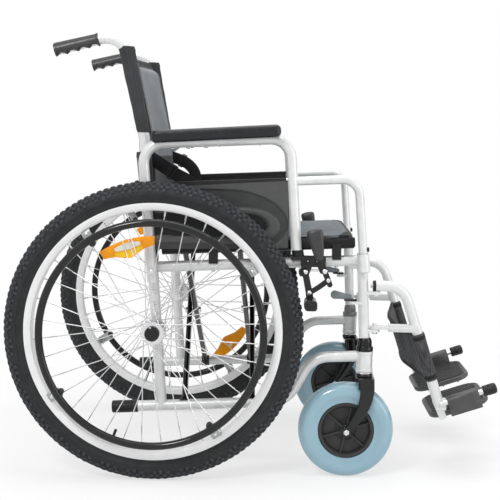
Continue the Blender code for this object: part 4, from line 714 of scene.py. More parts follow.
def side_guard(side):
    """The moulded guard: grey, with nested, raised arcs round a dark hollow, and a plain face inside. The
    sloping band between the outer and middle arcs has a darker copy of the guard plastic: painted shade.
    """
    p = Piece(side)
    x0, x1 = -0.004, 0.268
    columns, rows = 132, 66
    arcs = ((0.1425, 0.521, 0.1255, 0.0705), (0.186, 0.517, 0.064, 0.036), (0.188, 0.5175, 0.037, 0.0235))

    def top(x):
        return rail_z(0.601, x)

    def place(i, j):
        x = x0 + (x1 - x0) * i / columns
        low = rail_z(0.4665, x) - 0.008 * (x + 0.013) / 0.287
        return x, low + (top(x) - low) * j / rows

    def ovals(x, z):
        """Less than 1 within each arc, which is rounded ahead and runs straight back behind its middle."""
        return [hypot(max(x - mid_x, 0.0) / long, (z - mid_z) / high) for mid_x, mid_z, long, high in arcs]

    def eased(value, start, end):
        share = limited((value - start) / (end - start))
        return share * share * (3 - 2 * share)

    def relief(x, z):
        wide, inner, hollow = ovals(x, z)
        frame_lift = 0.0024 * eased(wide, 0.955, 1.0)
        band = 0.003 * (1 - eased(inner, 0.9, 1.06)) * eased(hollow, 0.98, 1.12)
        return frame_lift + band + 0.0007 * (1 - wide) - 0.0012 * (1 - eased(hollow, 0.9, 1.02))

    grids = []
    for direction in (1, -1):
        grid = []
        for i in range(columns + 1):
            grid.append([])
            for j in range(rows + 1):
                x, z = place(i, j)
                inside = 0 < i < columns and 0 < j < rows
                lift = relief(x, z) if direction > 0 and inside else 0.0
                y = ARM_Y + direction * (0.0026 if inside else 0.002) + lift
                grid[i].append(p.bm.verts.new(p.at(x, y, z)))
        for i in range(columns):
            for j in range(rows):
                wide, inner, hollow = ovals(*place(i + 0.5, j + 0.5))
                look = PLASTIC
                if direction > 0:
                    # Faces between the outer and middle arcs get the darker band plastic: painted shade.
                    look = HOLLOW if hollow < 0.97 else SHADE_BAND if wide < 0.985 and inner > 1.0 else GUARD
                corners = (grid[i][j], grid[i + 1][j], grid[i + 1][j + 1], grid[i][j + 1])
                p.bm.faces.new(corners).material_index = p.index(look)
        grids.append(grid)
    front, back = grids
    border = [(i, 0) for i in range(columns + 1)] + [(columns, j) for j in range(1, rows + 1)]
    border += [(i, rows) for i in range(columns - 1, -1, -1)] + [(0, j) for j in range(rows - 1, 0, -1)]
    for (i, j), (m, n) in zip(border, border[1:] + border[:1]):
        p.bm.faces.new((front[i][j], front[m][n], back[m][n], back[i][j])).material_index = p.index(PLASTIC)
    channel = []
    for x, deep in ((x0 - 0.0004, 9.5), (x1 + 0.0004, 5.0)):
        section = mm(-5.6, -deep, 5.6, -deep, 5.6, -1, 4.6, 0, -4.6, 0, -5.6, -1)
        channel.append([p.at(x, ARM_Y + y, top(x) + 0.0007 + up) for y, up in section])
    p.rings(channel, PLASTIC)
    p.head(p.at(0.2625, ARM_Y + 0.0054, rail_z(0.599, 0.2625)), 0.003, 0.0014)
    p.done("side_guard", "armrest", 0, 40)


def arm_latch(side):
    p = Piece(side)
    profile = mm(0, 0, 5, 0, 5, 7.2, 4.2, 8.6, 2.4, 9, 0, 9)
    p.turned(profile, p.at(drop_tube_x(0.4745) + 0.004, ARM_Y, 0.4745), 24, PLASTIC, AHEAD)
    p.done("arm_latch", "arm_latch")


# Rear wheels

CASING_R, CASING_HIGH, CASING_WIDE = 0.2785, 0.0182, 0.0196


def on_casing(turn, lift=0.0):
    """Radius and reach from the tyre's middle, turn being from the crown down the wall."""
    return CASING_R + (CASING_HIGH + lift) * cos(turn), (CASING_WIDE + lift) * bulged(sin(turn), 0.9)


def tyre(side):
    """A knobbly off-road tyre: rows of separate blocks on a rounded casing, over a smooth wall. The blocks
    take a lighter copy of the casing's rubber: painted light on them.
    """
    p = Piece(side)
    centre = p.at(*REAR_HUB)
    casing = [on_casing(radians(-126 + 9 * k)) for k in range(29)]
    p.ring(casing + both(mm(262.2, 15.6, 260.3, 15)), centre, 144, TYRE)
    for way in (-1, 1):
        for radius in (0.2748, 0.2655):
            out = on_casing(acos((radius - CASING_R) / CASING_HIGH))[1]
            line = [(radius + a, way * (out + b)) for a, b in mm(-0.8, -0.6, 0, 0.7, 0.8, -0.6)]
            p.ring(line, centre, 144, TYRE)

    def block(turn, span, out, reach, height):
        """One tread block on the casing, given by its place round and across the tyre."""
        corners = []
        for level, shrink in ((-0.004, 1.0), (height * 0.8, 0.95), (height, 0.8)):
            ring = []
            for a, b in rect((-1, 1), (-1, 1)):
                y = out + b * reach * shrink
                crown = CASING_R + CASING_HIGH * sqrt(max(1 - (y / CASING_WIDE) ** 2, 0.02))
                ring.append(p.around(crown + level, turn + a * span * shrink, y))
            corners.append(ring)
        p.rings(corners, LIT_TREAD)

    def wall_block(turn, span, way, first, last, height):
        """A block on the tyre's shoulder or wall, between two places given in degrees from the crown."""
        angles = [radians(first + (last - first) * k / 3) for k in range(4)]
        outline = [(*on_casing(a, -0.004), 1.0) for a in angles]
        lifts = zip(angles[::-1], (0.55, 0.95, 1.0, 0.9))
        outline += [(*on_casing(a, height * lift), 0.8) for a, lift in lifts]
        ends = []
        for end in (-span, span):
            ends.append([p.around(r, turn + end * share, way * y) for r, y, share in outline])
        p.rings(ends, LIT_TREAD)

    count = 132
    step = tau / count
    for k in range(count):
        turn, odd = step * k, k % 2
        block(turn, step * 0.32, 0.0016 if k % 4 < 2 else -0.0016, 0.0036 + 0.001 * odd, 0.006)
        for way in (-1, 1):
            block(turn + step * 0.5, step * (0.33 - 0.05 * odd), way * 0.0098, 0.003, 0.0052)
            further, span = (0.1, 0.34) if odd else (-0.04, 0.28)
            wall_block(turn + step * further, step * span, way, 38, 57, 0.0036)
            if k % 4 != 2:
                further, span, last = 0.52 + 0.1 * odd, 0.27 + 0.05 * odd, (86, 76, 0, 80)[k % 4]
                wall_block(turn + step * further, step * span, way, 60, last, 0.0026)
    p.done("rear_tyre", "rear_wheel", 0, 30, "tyre")


def rear_wheel(side):
    """Rim, hub, 36 crossed spokes and their nipples."""
    p = Piece(side)
    rim = mm(256, 12, 258.5, 13.8, 259.8, 15.2, 260.2, 16.2, 259.7, 17, 258.5, 17.3, 256, 17, 248.5, 16.3)
    rim += mm(246.2, 15.6, 245, 14, 244.4, 10, 244, 4)
    p.ring(both(rim), p.at(*REAR_HUB), 144, ALLOY)
    hub = mm(6.4, -31, 10.5, -31, 11.8, -29, 13, -26.2, 23.5, -25.8, 23.5, -22.6, 14, -22, 11.8, -15)
    hub += mm(11.5, 15, 14, 22, 23.5, 22.6, 23.5, 25.8, 13, 26.2, 11.8, 29, 10.5, 31, 6.4, 31)
    p.ring(hub, p.at(*REAR_HUB), 48, STEEL)
    spokes, flange_r, rim_bed_r = 36, 0.0195, 0.2446
    for k in range(spokes):
        face = 1 if k % 2 == 0 else -1
        lean = 1 if (k // 2) % 2 == 0 else -1
        rim_turn = tau * (k + 0.5) / spokes
        hub_turn = rim_turn + lean * tau * 6 / spokes
        flange = 0.024 * face + lean * 0.0022
        start, end = p.around(flange_r, hub_turn, flange), p.around(rim_bed_r, rim_turn, 0.0)
        p.rod(start, end, 0.0011, STEEL, 8)
        p.rod(end - (end - start).normalized() * 0.011, end, 0.0019, STEEL, 8)
        tip = p.around(flange_r, hub_turn, flange - lean * 0.0034)
        p.rod(start + (tip - start) * -0.35, tip, 0.0016, STEEL, 8)
    valve, inner = [p.around(radius, radians(250), 0.0) for radius in (0.2445, 0.215)]
    p.rod(valve, inner, 0.003, PLASTIC, 12, 0.0008)
    p.done("rear_wheel", "rear_wheel")


def handrim(side):
    p = Piece(side)
    p.ring([(0.2226 + b, 0.049 + a) for a, b in circle(0.0077, 24)], p.at(*REAR_HUB), 160, BLACK_PAINT)
    for k in range(4):
        turn = radians(33.4) + tau * k / 4
        corners = [p.around(r, turn, out) for r, out in mm(244.6, 13, 243, 39.5, 215, 39.5)]
        across = (p.around(0.23, turn + 0.01, 0.03) - p.around(0.23, turn - 0.01, 0.03)).normalized()
        p.sweep(bent(corners, 0.006, 8), oblong(0.019, 0.0026, 0.0008), ZINC, across)
        nub = mm(0, 35, 5.2, 35, 6.6, 36.5, 6.6, 44, 5.4, 45.6, 0, 46)
        p.turned(nub, p.around(0.2146, turn, 0.0), 20, GREY_PLASTIC)
        p.head(p.around(0.2362, turn, 0.0405), 0.003, 0.001)
    p.done("handrim", "rear_wheel")


def reflector(side):
    """The spoke reflectors: one in each wheel, and a second in the left one."""
    p = Piece(side)
    reflector_body(p, radians(107.5), 0.0)
    p.done("spoke_reflector", "rear_wheel", name="reflector")
    if side > 0:
        low = Piece(side)
        reflector_body(low, radians(-44.5), 0.006)
        low.done(None, "rear_wheel", name="reflector_low")


def reflector_body(p, turn, further):
    """An orange boat shape with a clear window above a yellow keel, and its clip on the spokes."""
    radial = Vector((cos(turn), 0, sin(turn)))
    along = Vector((-sin(turn), 0, cos(turn)))
    centre = p.at(*REAR_HUB)

    def patch(outline, low, high, look):
        rings = []
        for out in (low, high):
            rings.append([centre + p.out * out + along * a + radial * (b + further) for a, b in outline])
        p.rings(rings, look)

    def mirrored(half):
        return half + [(-a, b) for a, b in half[::-1] if a > 0]

    hull = mm(0, 193.2, 18, 192.2, 34, 190, 48, 186.8, 58, 183.8, 53, 167.6, 42, 166.8, 30, 165.6, 3.5, 155.6)
    patch(mirrored(hull), -0.002, 0.0014, ORANGE)
    patch(mirrored(mm(0, 186.8, 14, 185.6, 27, 182.4, 26, 175.6, 0, 173)), 0.001, 0.0026, CLEAR)
    patch(mirrored(mm(0, 171.4, 29, 173.8, 29, 166.8, 3, 157)), 0.001, 0.0024, YELLOW)
    patch([(a * 0.97, 0.18 + (b - 0.18) * 0.9) for a, b in mirrored(hull)], -0.0026, 0.0016, ORANGE)
    clip = centre + radial * (0.181 + further)
    p.rod(clip - p.out * 0.003, clip + p.out * 0.0044, 0.0044, CLEAR, 20, 0.0008)
    p.rod(clip + p.out * 0.004, clip + p.out * 0.0052, 0.0022, STEEL, 12)
    for way in (-1, 1):
        spoke = clip + along * (way * 0.0062) + p.out * 0.0026
        p.rod(spoke - radial * 0.0245, spoke + radial * 0.011, 0.0012, CLEAR, 8)


def rear_axle(side):
    p = Piece(side)
    centre = p.at(*REAR_HUB)
    p.turned(mm(0, -40, 6.1, -40, 6.1, 32, 0, 32), centre, 24, STEEL)
    cap = mm(0, 31.5, 15, 31.5, 15, 33.5, 14.2, 35.2, 10.5, 37.2, 5.5, 38.4, 0, 38.7)
    p.turned(cap, centre, 36, GLOSSY)
    inner = p.at(0, FRAME_Y - TUBE_R - 0.007, WHEEL_R)
    p.ring(mm(6.2, 0, 10.5, 0, 10.5, 6, 9.5, 7, 6.2, 7), inner, 6, STEEL)
    p.rod(inner - p.out * 0.004, p.at(0, WHEEL_Y - 0.03, WHEEL_R), 0.006)
    p.done("rear_axle", "side_frame")


# Casters


def caster_wheel(side):
    p = Piece(side)
    centre = p.at(*CASTER_HUB)
    turns = [radians(-122 + 244 * k / 28) for k in range(29)]
    profile = [(0.0792 + 0.0193 * cos(turn), 0.0225 * bulged(sin(turn), 0.82)) for turn in turns]
    p.ring(profile + both(mm(64, 18, 58.2, 17.2, 57.8, 16)), centre, 96, CASTER)
    p.done("caster_tyre", "caster_wheel", 0, 40)
    q = Piece(side)
    rim = mm(57.4, 16.5, 56.2, 18, 52, 18, 50, 16.5, 47.8, 10, 46.8, 4.5)
    q.ring(both(rim), centre, 72, GREY_PLASTIC)
    q.ring(both(mm(10, 4, 48, 4)), centre, 48, GREY_PLASTIC)
    hub = mm(4.4, -19, 10.5, -19, 11.5, -18, 13.5, -4, 15, 0, 13.5, 4, 11.5, 18, 10.5, 19, 4.4, 19)
    q.ring(hub, centre, 36, GREY_PLASTIC)
    rib = ((0.011, 0.0026, 0.015), (0.03, 0.0021, 0.0112), (0.0486, 0.0024, 0.0125))
    for k in range(6):
        turn = tau * (k + 0.3) / 6
        for way in (-1, 1):
            rings = []
            for radius, width, high in rib:
                sweep = width / radius
                corners = ((-sweep, 0.0035), (sweep, 0.0035), (sweep * 0.8, high), (-sweep * 0.8, high))
                rings.append([q.around(radius, turn + a, way * b, CASTER_HUB) for a, b in corners])
            q.rings(rings, GREY_PLASTIC)
    for way in (-1, 1):
        q.ring(mm(21.5, 3.5, 24, 3.5, 23.6, 6.5, 21.9, 6.5), centre, 40, GREY_PLASTIC, q.out * way)
        q.ring(mm(4.6, 18.8, 8.8, 18.8, 8.8, 19.6, 4.6, 19.6), centre, 24, STEEL, q.out * way)
    q.done("caster_rim", "caster_wheel")


def caster_fork(side):
    """A cast fork: a crown under the stem and two domed legs that taper back to the wheel's bolt."""
    p = Piece(side)
    leg_in, leg_out, top = 0.0265, 0.0315, 0.2164
    stem = p.on(SWIVEL_X, 0)
    crown = mm(0, 202.4, 15, 204.4, 17.2, 210.4, 17.2, 214.4, 15.8, 216.4, 0, 216.4)
    p.turned(crown, stem, 36, BLACK_PAINT, UP)
    p.rod(stem + UP * (top - 0.004), stem + UP * 0.258, 0.0118, STEEL, 24)
    p.ring(mm(11.9, 216.5, 16, 216.5, 16, 218.6, 11.9, 218.6), stem, 32, STEEL, UP)
    spine = ((0.434, top - 0.008), (0.436, 0.18), (0.429, 0.15), (0.412, 0.12), (CASTER_X, CASTER_Z))

    def leg(share):
        half = between((0.0315, 0.029, 0.0262, 0.0222, 0.0172, 0.013), share) / 2
        stations = [-cos(pi * k / 16) for k in range(17)]
        dome = [(0.0009 + 0.0043 * sqrt(max(0.0, 1 - abs(t) ** 2.6)), half * t) for t in stations]
        return dome + [(-a, b) for a, b in dome[::-1]]

    for way in (-1, 1):
        middle = FRAME_Y + way * (leg_in + leg_out) / 2
        p.sweep(smooth([p.at(x, middle, z) for x, z in spine]), leg, BLACK_PAINT)
        boss, out = p.at(CASTER_X, FRAME_Y + way * leg_out, CASTER_Z), p.out * way
        p.turned(mm(0, 0, 10.5, 0, 9.8, 1.6, 0, 1.6), boss, 28, BLACK_PAINT, out)
        p.bolt(boss + out * 0.0014, 0.0064, 0.0042, out)
        p.rod(boss + out * 0.005, boss + out * 0.0068, 0.004, STEEL, 14, 0.0006)
    corners = ((-1, 0), (1, 0), (0.8, 0.0215), (-0.8, 0.0215))
    yoke = [(FRAME_Y + leg_out * a, top - 0.0285 + b) for a, b in corners]
    p.plate(rounded(yoke, 0.005), SWIVEL_X - 0.0125, SWIVEL_X + 0.0205, BLACK_PAINT, "YZ")
    p.pin(CASTER_X, CASTER_Z, FRAME_Y - leg_out, FRAME_Y + leg_out, 0.0039, STEEL, 16)
    p.done("caster_fork", "caster_fork", 0.0012)


def caster_boot(side):
    p = Piece(side)
    profile = mm(11.4, 0, 17.4, 0, 17.5, 7.8, 16.8, 9, 14.7, 9.6, 14.6, 17.5, 14.1, 21.5, 13, 25, 11.4, 27.2)
    # The left boot is coloured grey and the right one glossy black.
    p.ring(profile, p.on(SWIVEL_X, HOUSING_TOP + 0.0003), 36, GLOSSY if side < 0 else LEFT_BOOT_GREY, UP)
    p.done("caster_boot", "side_frame")


# Wheel brake

SHOE_X = 0.30254
BRACKET_X = (SHOE_X - 0.0085, SHOE_X + 0.0425)
SHOE_PIVOT = (SHOE_X + 0.0007, 0.4266)
LEVER_PIVOT = (SHOE_X + 0.0398, 0.4295)
LEVER_LINK = (SHOE_X + 0.0473, 0.4113)
SHOE_LINK = (SHOE_X + 0.0095, 0.3851)
SHOE_FOOT = (SHOE_X + 0.0125, 0.36475)
SHOE_ARM_Y = FRAME_Y + 0.028
LINK_Y = SHOE_ARM_Y + 0.0045
LEVER_Y = LINK_Y + 0.0045
BRAKE_T = 0.004


def mixed(first, second, share):
    """A point on the way from the first to the second, or beyond it."""
    return tuple(a + (b - a) * share for a, b in zip(first, second))


def brake_bracket(side):
    p = Piece(side)
    z0, z1 = 0.4356, 0.4575
    back, front = BRACKET_X
    out = FRAME_Y + 0.0175
    p.plate(rounded(rect(BRACKET_X, (z0, z1)), 0.003, 3), FRAME_Y + 0.0095, out, BLACK_PAINT)
    p.box((back + 0.001, front - 0.001), (FRAME_Y - 0.002, FRAME_Y + 0.011), (z1 - 0.0035, z1), BLACK_PAINT)
    bridge = (FRONT_LEG_X - TUBE_R, back + 0.01)
    p.box(bridge, (FRAME_Y + 0.004, ARM_Y + 0.008), (z1 - 0.006, z1), BLACK_PAINT)
    (shoe_x, shoe_z), (lever_x, lever_z) = SHOE_PIVOT, LEVER_PIVOT
    ears = [(back + 0.001, z0 + 0.006), (shoe_x - 0.007, shoe_z - 0.007), (shoe_x + 0.008, shoe_z - 0.007)]
    ears += [(shoe_x + 0.014, z0 + 0.001), (lever_x - 0.014, z0 + 0.001), (lever_x - 0.008, lever_z - 0.007)]
    ears += [(lever_x + 0.007, lever_z - 0.007), (front, z0 + 0.006)]
    p.plate(rounded(ears, 0.0025, 2), out - 0.005, out + 0.0008, BLACK_PAINT)
    clamp = rounded(rect((back + 0.004, front - 0.006), (0.4262, 0.4312)), 0.002, 2)
    p.plate(clamp, FRAME_Y + 0.01, out - 0.0035, STEEL)
    for x in (back + 0.014, back + 0.033):
        p.head(p.at(x, out, 0.4478), 0.004, 0.0024, look=PLASTIC)
        p.pin(x, 0.4478, out + 0.0016, out + 0.0027, 0.0016, STEEL, 6)
    for (x, z), reach in ((SHOE_PIVOT, SHOE_ARM_Y), (LEVER_PIVOT, LEVER_Y)):
        face = reach + BRAKE_T + 0.0003
        p.pin(x, z, out - 0.002, reach - 0.0003, 0.0055, STEEL, 18, 0.0006)
        p.pin(x, z, out, face + 0.0002, 0.0029)
        p.head(p.at(x, face, z), 0.0052, 0.0024)
    p.done("brake_bracket", "side_frame", 0.0007)


def brake_lever(side):
    p = Piece(side)
    low, high = (SHOE_X + 0.0295, 0.452), (SHOE_X + 0.0165, 0.515)
    end = mixed(LEVER_PIVOT, LEVER_LINK, 1.45)
    path = [(low[0] - 0.002, low[1] + 0.012), low, LEVER_PIVOT, LEVER_LINK, end]
    p.plate(strip(path, (0.013, 0.011)), LEVER_Y, LEVER_Y + BRAKE_T, BLACK_PAINT)
    start, end = [p.at(x, LEVER_Y + 0.005, z) for x, z in (low, high)]
    stations = (
        (0.0, 0.005, 0.0034), (0.03, 0.0072, 0.0048), (0.08, 0.0086, 0.0055), (0.18, 0.0102, 0.0062),
        (0.3, 0.0118, 0.0067), (0.45, 0.0134, 0.0072), (0.6, 0.0148, 0.0077), (0.72, 0.016, 0.0082),
        (0.82, 0.0167, 0.0085), (0.9, 0.0165, 0.0082), (0.95, 0.0152, 0.007), (0.98, 0.0118, 0.0054),
        (1.0, 0.004, 0.0028),
    )
    turns = [tau * k / 28 for k in range(28)]

    def section(share):
        _, wide, deep = stations[round(share * (len(stations) - 1))]
        return [(bulged(cos(turn), 0.85) * deep, bulged(sin(turn), 0.9) * wide) for turn in turns]

    p.sweep([(start + (end - start) * s, (end - start).normalized()) for s, _, _ in stations], section, GRIP)
    x, z = LEVER_LINK
    p.pin(x, z, LINK_Y + 0.0005, LEVER_Y + BRAKE_T, 0.0026)
    p.head(p.at(x, LEVER_Y + BRAKE_T, z), 0.0046, 0.002)
    p.done("brake_lever", "brake_lever", 0.0006, 45)


def brake_link(side):
    p = Piece(side)
    path = [mixed(LEVER_LINK, SHOE_LINK, i / 4) for i in range(5)]
    bowed = [(x, z - 0.0016 * sin(pi * i / 4)) for i, (x, z) in enumerate(path)]
    p.plate(strip(bowed, (0.0105, 0.0105), 12, True), LINK_Y, LINK_Y + BRAKE_T, BLACK_PAINT)
    for x, z in (LEVER_LINK, SHOE_LINK):
        p.ring(mm(3, 0, 4.8, 0, 4.6, 0.3, 3, 0.3), p.at(x, LINK_Y + BRAKE_T, z), 20, STEEL)
    p.done("brake_link", "brake_link", 0.0006)


def brake_shoe(side):
    p = Piece(side)
    (foot_x, foot_z), (knee_x, knee_z) = SHOE_FOOT, SHOE_LINK
    shin, thigh = (knee_x + 0.0006, knee_z - 0.004), mixed(SHOE_LINK, SHOE_PIVOT, 1 / 3)
    arm = strip([SHOE_FOOT, shin, SHOE_LINK, thigh, SHOE_PIVOT], (0.015, 0.013))
    p.plate(arm, SHOE_ARM_Y, SHOE_ARM_Y + BRAKE_T, BLACK_PAINT)
    shoe = rounded(rect((SHOE_X, SHOE_X + 0.025), (0.3545, 0.375)), 0.006, 4)
    p.plate(shoe, SHOE_ARM_Y - 0.002, 0.332, BLACK_PAINT)
    for k in range(7):
        y = SHOE_ARM_Y + 0.01 + 0.0065 * k
        p.box((SHOE_X - 0.0006, SHOE_X + 0.001), (y, y + 0.003), (0.359, 0.3705), BLACK_PAINT)
    p.turned(mm(0, 0, 7.8, 0, 7.2, 1.4, 0, 1.4), p.at(foot_x, 0.332, foot_z), 24, BLACK_PAINT)
    p.head(p.at(foot_x, 0.333, foot_z), 0.0042, 0.0022, look=PLASTIC)
    p.pin(knee_x, knee_z, SHOE_ARM_Y, LINK_Y + BRAKE_T + 0.0002, 0.0027)
    p.head(p.at(knee_x, LINK_Y + BRAKE_T + 0.0004, knee_z), 0.0044, 0.0018)
    p.done("brake_shoe_arm", "brake_shoe_arm", 0.0008, name="brake_shoe_skin")


# Legrest


def plate_point(p, x, y, z):
    """A point in the footplate's frame: X along its hinge, Y towards the middle, Z square to the plate."""
    c, s = cos(HANGER_SLOPE), sin(HANGER_SLOPE)
    return p.at(PLATE_X + x * c - z * s, PLATE_Y - y, PLATE_Z + x * s + z * c)


def hinge_line(p, x):
    return p.at(x, PLATE_Y, PLATE_Z + (x - PLATE_X) * tan(HANGER_SLOPE))


def hanger(side):
    p = Piece(side)
    head = p.on(HINGE_X, HANGER_Z)
    p.tube([head, p.at(*hanger_xyz(HANGER_Z)), p.at(*hanger_xyz(HANGER_LOW))], 0.047, 22)
    p.turned(mm(0, -6, 10, -6, 11.3, -4.5, 11.3, 0, 0, 0), head, 28, PLASTIC, AHEAD)
    p.rod(head - AHEAD * 0.011, head + AHEAD * 0.001, 0.0042, PAINT, 16)
    p.turned(mm(0, 0, 5, 0, 5, 12, 0, 12), head - UP * 0.006, 20, PLASTIC, UP)
    tongue_x = hanger_xyz(0.309)[0]
    tongue = strip([(tongue_x, FRAME_Y - 0.004), (HINGE_X, FRAME_Y)], (0.018, 0.02))
    p.plate(tongue, 0.309, 0.315, PAINT, "XY")
    p.box((HINGE_X + 0.028, tongue_x), (FRAME_Y - 0.0115, FRAME_Y + 0.0035), (0.3035, 0.3185), PAINT)
    p.head(p.at(HINGE_X + 0.036, FRAME_Y + 0.0035, 0.311), 0.0045, 0.0022)
    p.turned(mm(0, 0, 6.2, 0, 5.8, 2.2, 0, 2.8), p.on(HINGE_X, 0.3182), 20, STEEL, UP)

    def tail(share):
        """The tube's flattened lower end."""
        thick = between((0.0226, 0.0215, 0.012, 0.0075, 0.0058), share)
        return oblong(thick, between((0.0226, 0.0224, 0.02, 0.0172, 0.0145), share), thick * 0.48, 4)

    levels = (HANGER_LOW + 0.004, HANGER_LOW - 0.004, 0.144, 0.13, 0.1175)
    p.sweep(smooth([p.at(*hanger_xyz(z)) for z in levels]), tail, PAINT)
    clamp_x = hanger_xyz(HANGER_LOW - 0.012)[0]
    clamp = rounded(rect((clamp_x - 0.004, clamp_x + 0.014), (0.137, 0.163)), 0.003, 3)
    p.plate(clamp, 0.2195, 0.2262, STEEL)
    p.bolt(p.at(clamp_x + 0.0085, 0.2262, 0.1512), 0.0056, 0.004)
    p.rod(hinge_line(p, 0.591), hinge_line(p, 0.7045), 0.0059, STEEL, 20, 0.0006)
    for x in (0.5985, 0.6785):
        p.ring(mm(6, 0, 9.8, 0, 9.8, 2.2, 6, 2.2), hinge_line(p, x), 22, STEEL, HINGE_WAY)
    p.done("hanger", "legrest", 0.0006)


def footplate(side):
    """The moulded plate: rounded corners, a raised rim, fine cross ribs on top and a boss for its hinge."""
    p = Piece(side)
    x0, x1, y0, y1 = -0.133, -0.0035, PLATE_Y - 0.22, PLATE_Y - 0.04
    low, high, corner_r = -0.03, -0.019, 0.034

    def lofted(stations, look):
        p.rings([[plate_point(p, *corner) for corner in station] for station in stations], look)

    edge_levels = mm(3, -30, 0.8, -28.2, 0, -26, 0, -20.6, 0.8, -19.3, 2.2, -18.8, 4.6, -18.8, 6, -20)
    stations = []
    for inset, z in edge_levels:
        corners = rect((x0 + inset, x1 - inset), (y0 + inset, y1 - inset))
        stations.append([(x, y, z) for x, y in rounded(corners, corner_r - inset, 10)])
    lofted(stations, FOOT)
    for k in range(21):
        y = y0 + 0.0125 + 0.0078 * k
        inset = 0.0095
        for edge in (y - y0, y1 - y):
            if edge < corner_r:
                inset = max(inset, 0.0085 + corner_r - sqrt(corner_r**2 - (corner_r - edge) ** 2))
        rib = [(y + a, high + b) for a, b in mm(-1.9, -1.4, 1.9, -1.4, 1, 1.4, -1, 1.4)]
        lofted([[(x, b, z) for b, z in rib] for x in (x0 + inset, x1 - inset)], FOOT if k % 2 else PLASTIC)
    start = (0.607 - PLATE_X) / cos(HANGER_SLOPE)
    half = 0.011
    turns = [pi * (1 - k / 12) for k in range(1, 12)]
    block = [(-half, low + 0.001), (-half, -0.01), (-half, 0.0)]
    block += [(half * cos(turn), 0.001 + half * sin(turn)) for turn in turns]
    block += [(half, 0.0), (half, -0.01), (half, low + 0.001)]
    stations = []
    for x, grow in ((start, 0.9), (start + 0.0015, 1.0), (start + 0.0655, 1.0), (start + 0.067, 0.9)):
        stations.append([(x, b * grow, z if z < -0.009 else z * grow) for b, z in block])
    lofted(stations, FOOT)
    for x in (x0 + 0.03, x0 + 0.065, x0 + 0.1):
        rib = [(x + a, low + b) for a, b in mm(-1.5, 0.5, 1.5, 0.5, 1.5, -4, -1.5, -4)]
        lofted([[(a, y, z) for a, z in rib] for y in (y0 + 0.012, y1 - 0.012)], GREY_PLASTIC)
    p.done("footplate", "footplate", 0, 40)


def bumper(side):
    p = Piece(side)
    profile = mm(6.2, 0, 9.8, 0, 11.4, 2.2, 11.5, 8, 11, 8.8, 11, 10.4, 11.5, 11.2, 11.5, 24, 10.6, 27.2)
    profile += mm(8.5, 29.2, 5, 30, 0, 30.1)
    p.turned(profile, hinge_line(p, 0.679), 28, PLASTIC, HINGE_WAY)
    p.done("bumper", "legrest", 0, 50)


def release(side):
    """The legrest's release: a foot on its pin and an upright paddle with a rounded, thicker end."""
    p = Piece(side)
    z = 0.366
    p.plate(strip([(0.385, FRAME_Y), (RELEASE_X, FRAME_Y)], (0.01, 0.014)), z, z + 0.004, BLACK_PAINT, "XY")
    p.head(p.on(RELEASE_X, z + 0.004), 0.0055, 0.0026, UP)
    spine = [Vector((a, 0, z + b)) for a, b in mm(396, 9, 385, 9.5, 374, 11, 366, 12)]
    outline = strip([(v.x, v.z) for v, _ in smooth(spine, 4)], (0.01, 0.0175), 14, True)
    p.plate(outline, FRAME_Y - 0.0025, FRAME_Y + 0.0025, PADDLE)
    p.done("release_lever", "release_lever", 0.0008, name="release_skin")


def calf_strap(side):
    """Half of the strap behind the calves: a sewn sleeve on the hanger and a band that sags to the middle."""
    p = Piece(side)
    top, low = p.at(*hanger_xyz(0.3)), p.at(*hanger_xyz(0.202))
    slope = (top - low).normalized()
    upright = Vector((slope.x, 0, slope.z)).normalized()
    middle, half = (top + low) / 2, (top - low).length / 2
    wall, sag, count, levels = 0.0019, 0.03, 30, 12
    made = []
    for i in range(count + 1):
        s = i / count
        x = middle.x - SHIFT - 0.0066 - sag * sin(pi / 2 * s)
        point = p.at(x, abs(middle.y) * (1 - s) + MIDDLE_GAP * s, middle.z)
        along = slope.lerp(upright, min(1.0, 2.2 * s)).normalized()
        ahead = cos(pi / 2 * s) * sag * pi / 2 / abs(middle.y)
        normal = Vector((1, side * -ahead, 0)).normalized()
        reach = half - 0.004 * sin(pi * s) ** 2
        ring = []
        for face in (1, -1):
            for k in range(levels + 1)[::face]:
                h = -1 + 2 * k / levels
                thick = wall * (1.0 if abs(h) < 0.99 else 0.6)
                crown = 0.0012 * (1 - h * h) * sin(pi * s)
                ring.append(point + along * h * reach + normal * (face * thick + crown))
        made.append(ring)
    p.rings(made, MESH_CLOTH)
    sleeve = [(0.0114, -half), (0.013, -half + 0.0004), (0.0133, -half + 0.004)]
    sleeve += [(r, -y) for r, y in sleeve[::-1]]
    p.ring(sleeve, middle, 32, MESH_CLOTH, slope)
    for way, first, second in ((-1, 0, -1), (1, levels, levels + 1)):
        edge = [(ring[first] + ring[second]) / 2 for ring in made]
        path = []
        for i, point in enumerate(edge):
            along = (edge[min(i + 1, count)] - edge[max(i - 1, 0)]).normalized()
            path.append((point - slope * way * 0.004, along))
        p.sweep(path, oblong(0.0052, 0.01, 0.0016), BLACK_CLOTH, AHEAD)
    for level in (half - 0.0085, -half + 0.0085):
        band = mm(12.8, -4.5, 13.7, -4.2, 13.9, 0, 13.7, 4.2, 12.8, 4.5)
        p.ring(band, middle + slope * level, 32, BLACK_CLOTH, slope)
    strap = p.done("calf_strap", "legrest", 0, 50, "calf_strap_cloth")
    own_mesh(strap)


# Cross-brace

BRACE_X = (0.067, 0.194)
BRACE_PITCH = 0.0145
ARM_DEPTH = 0.011


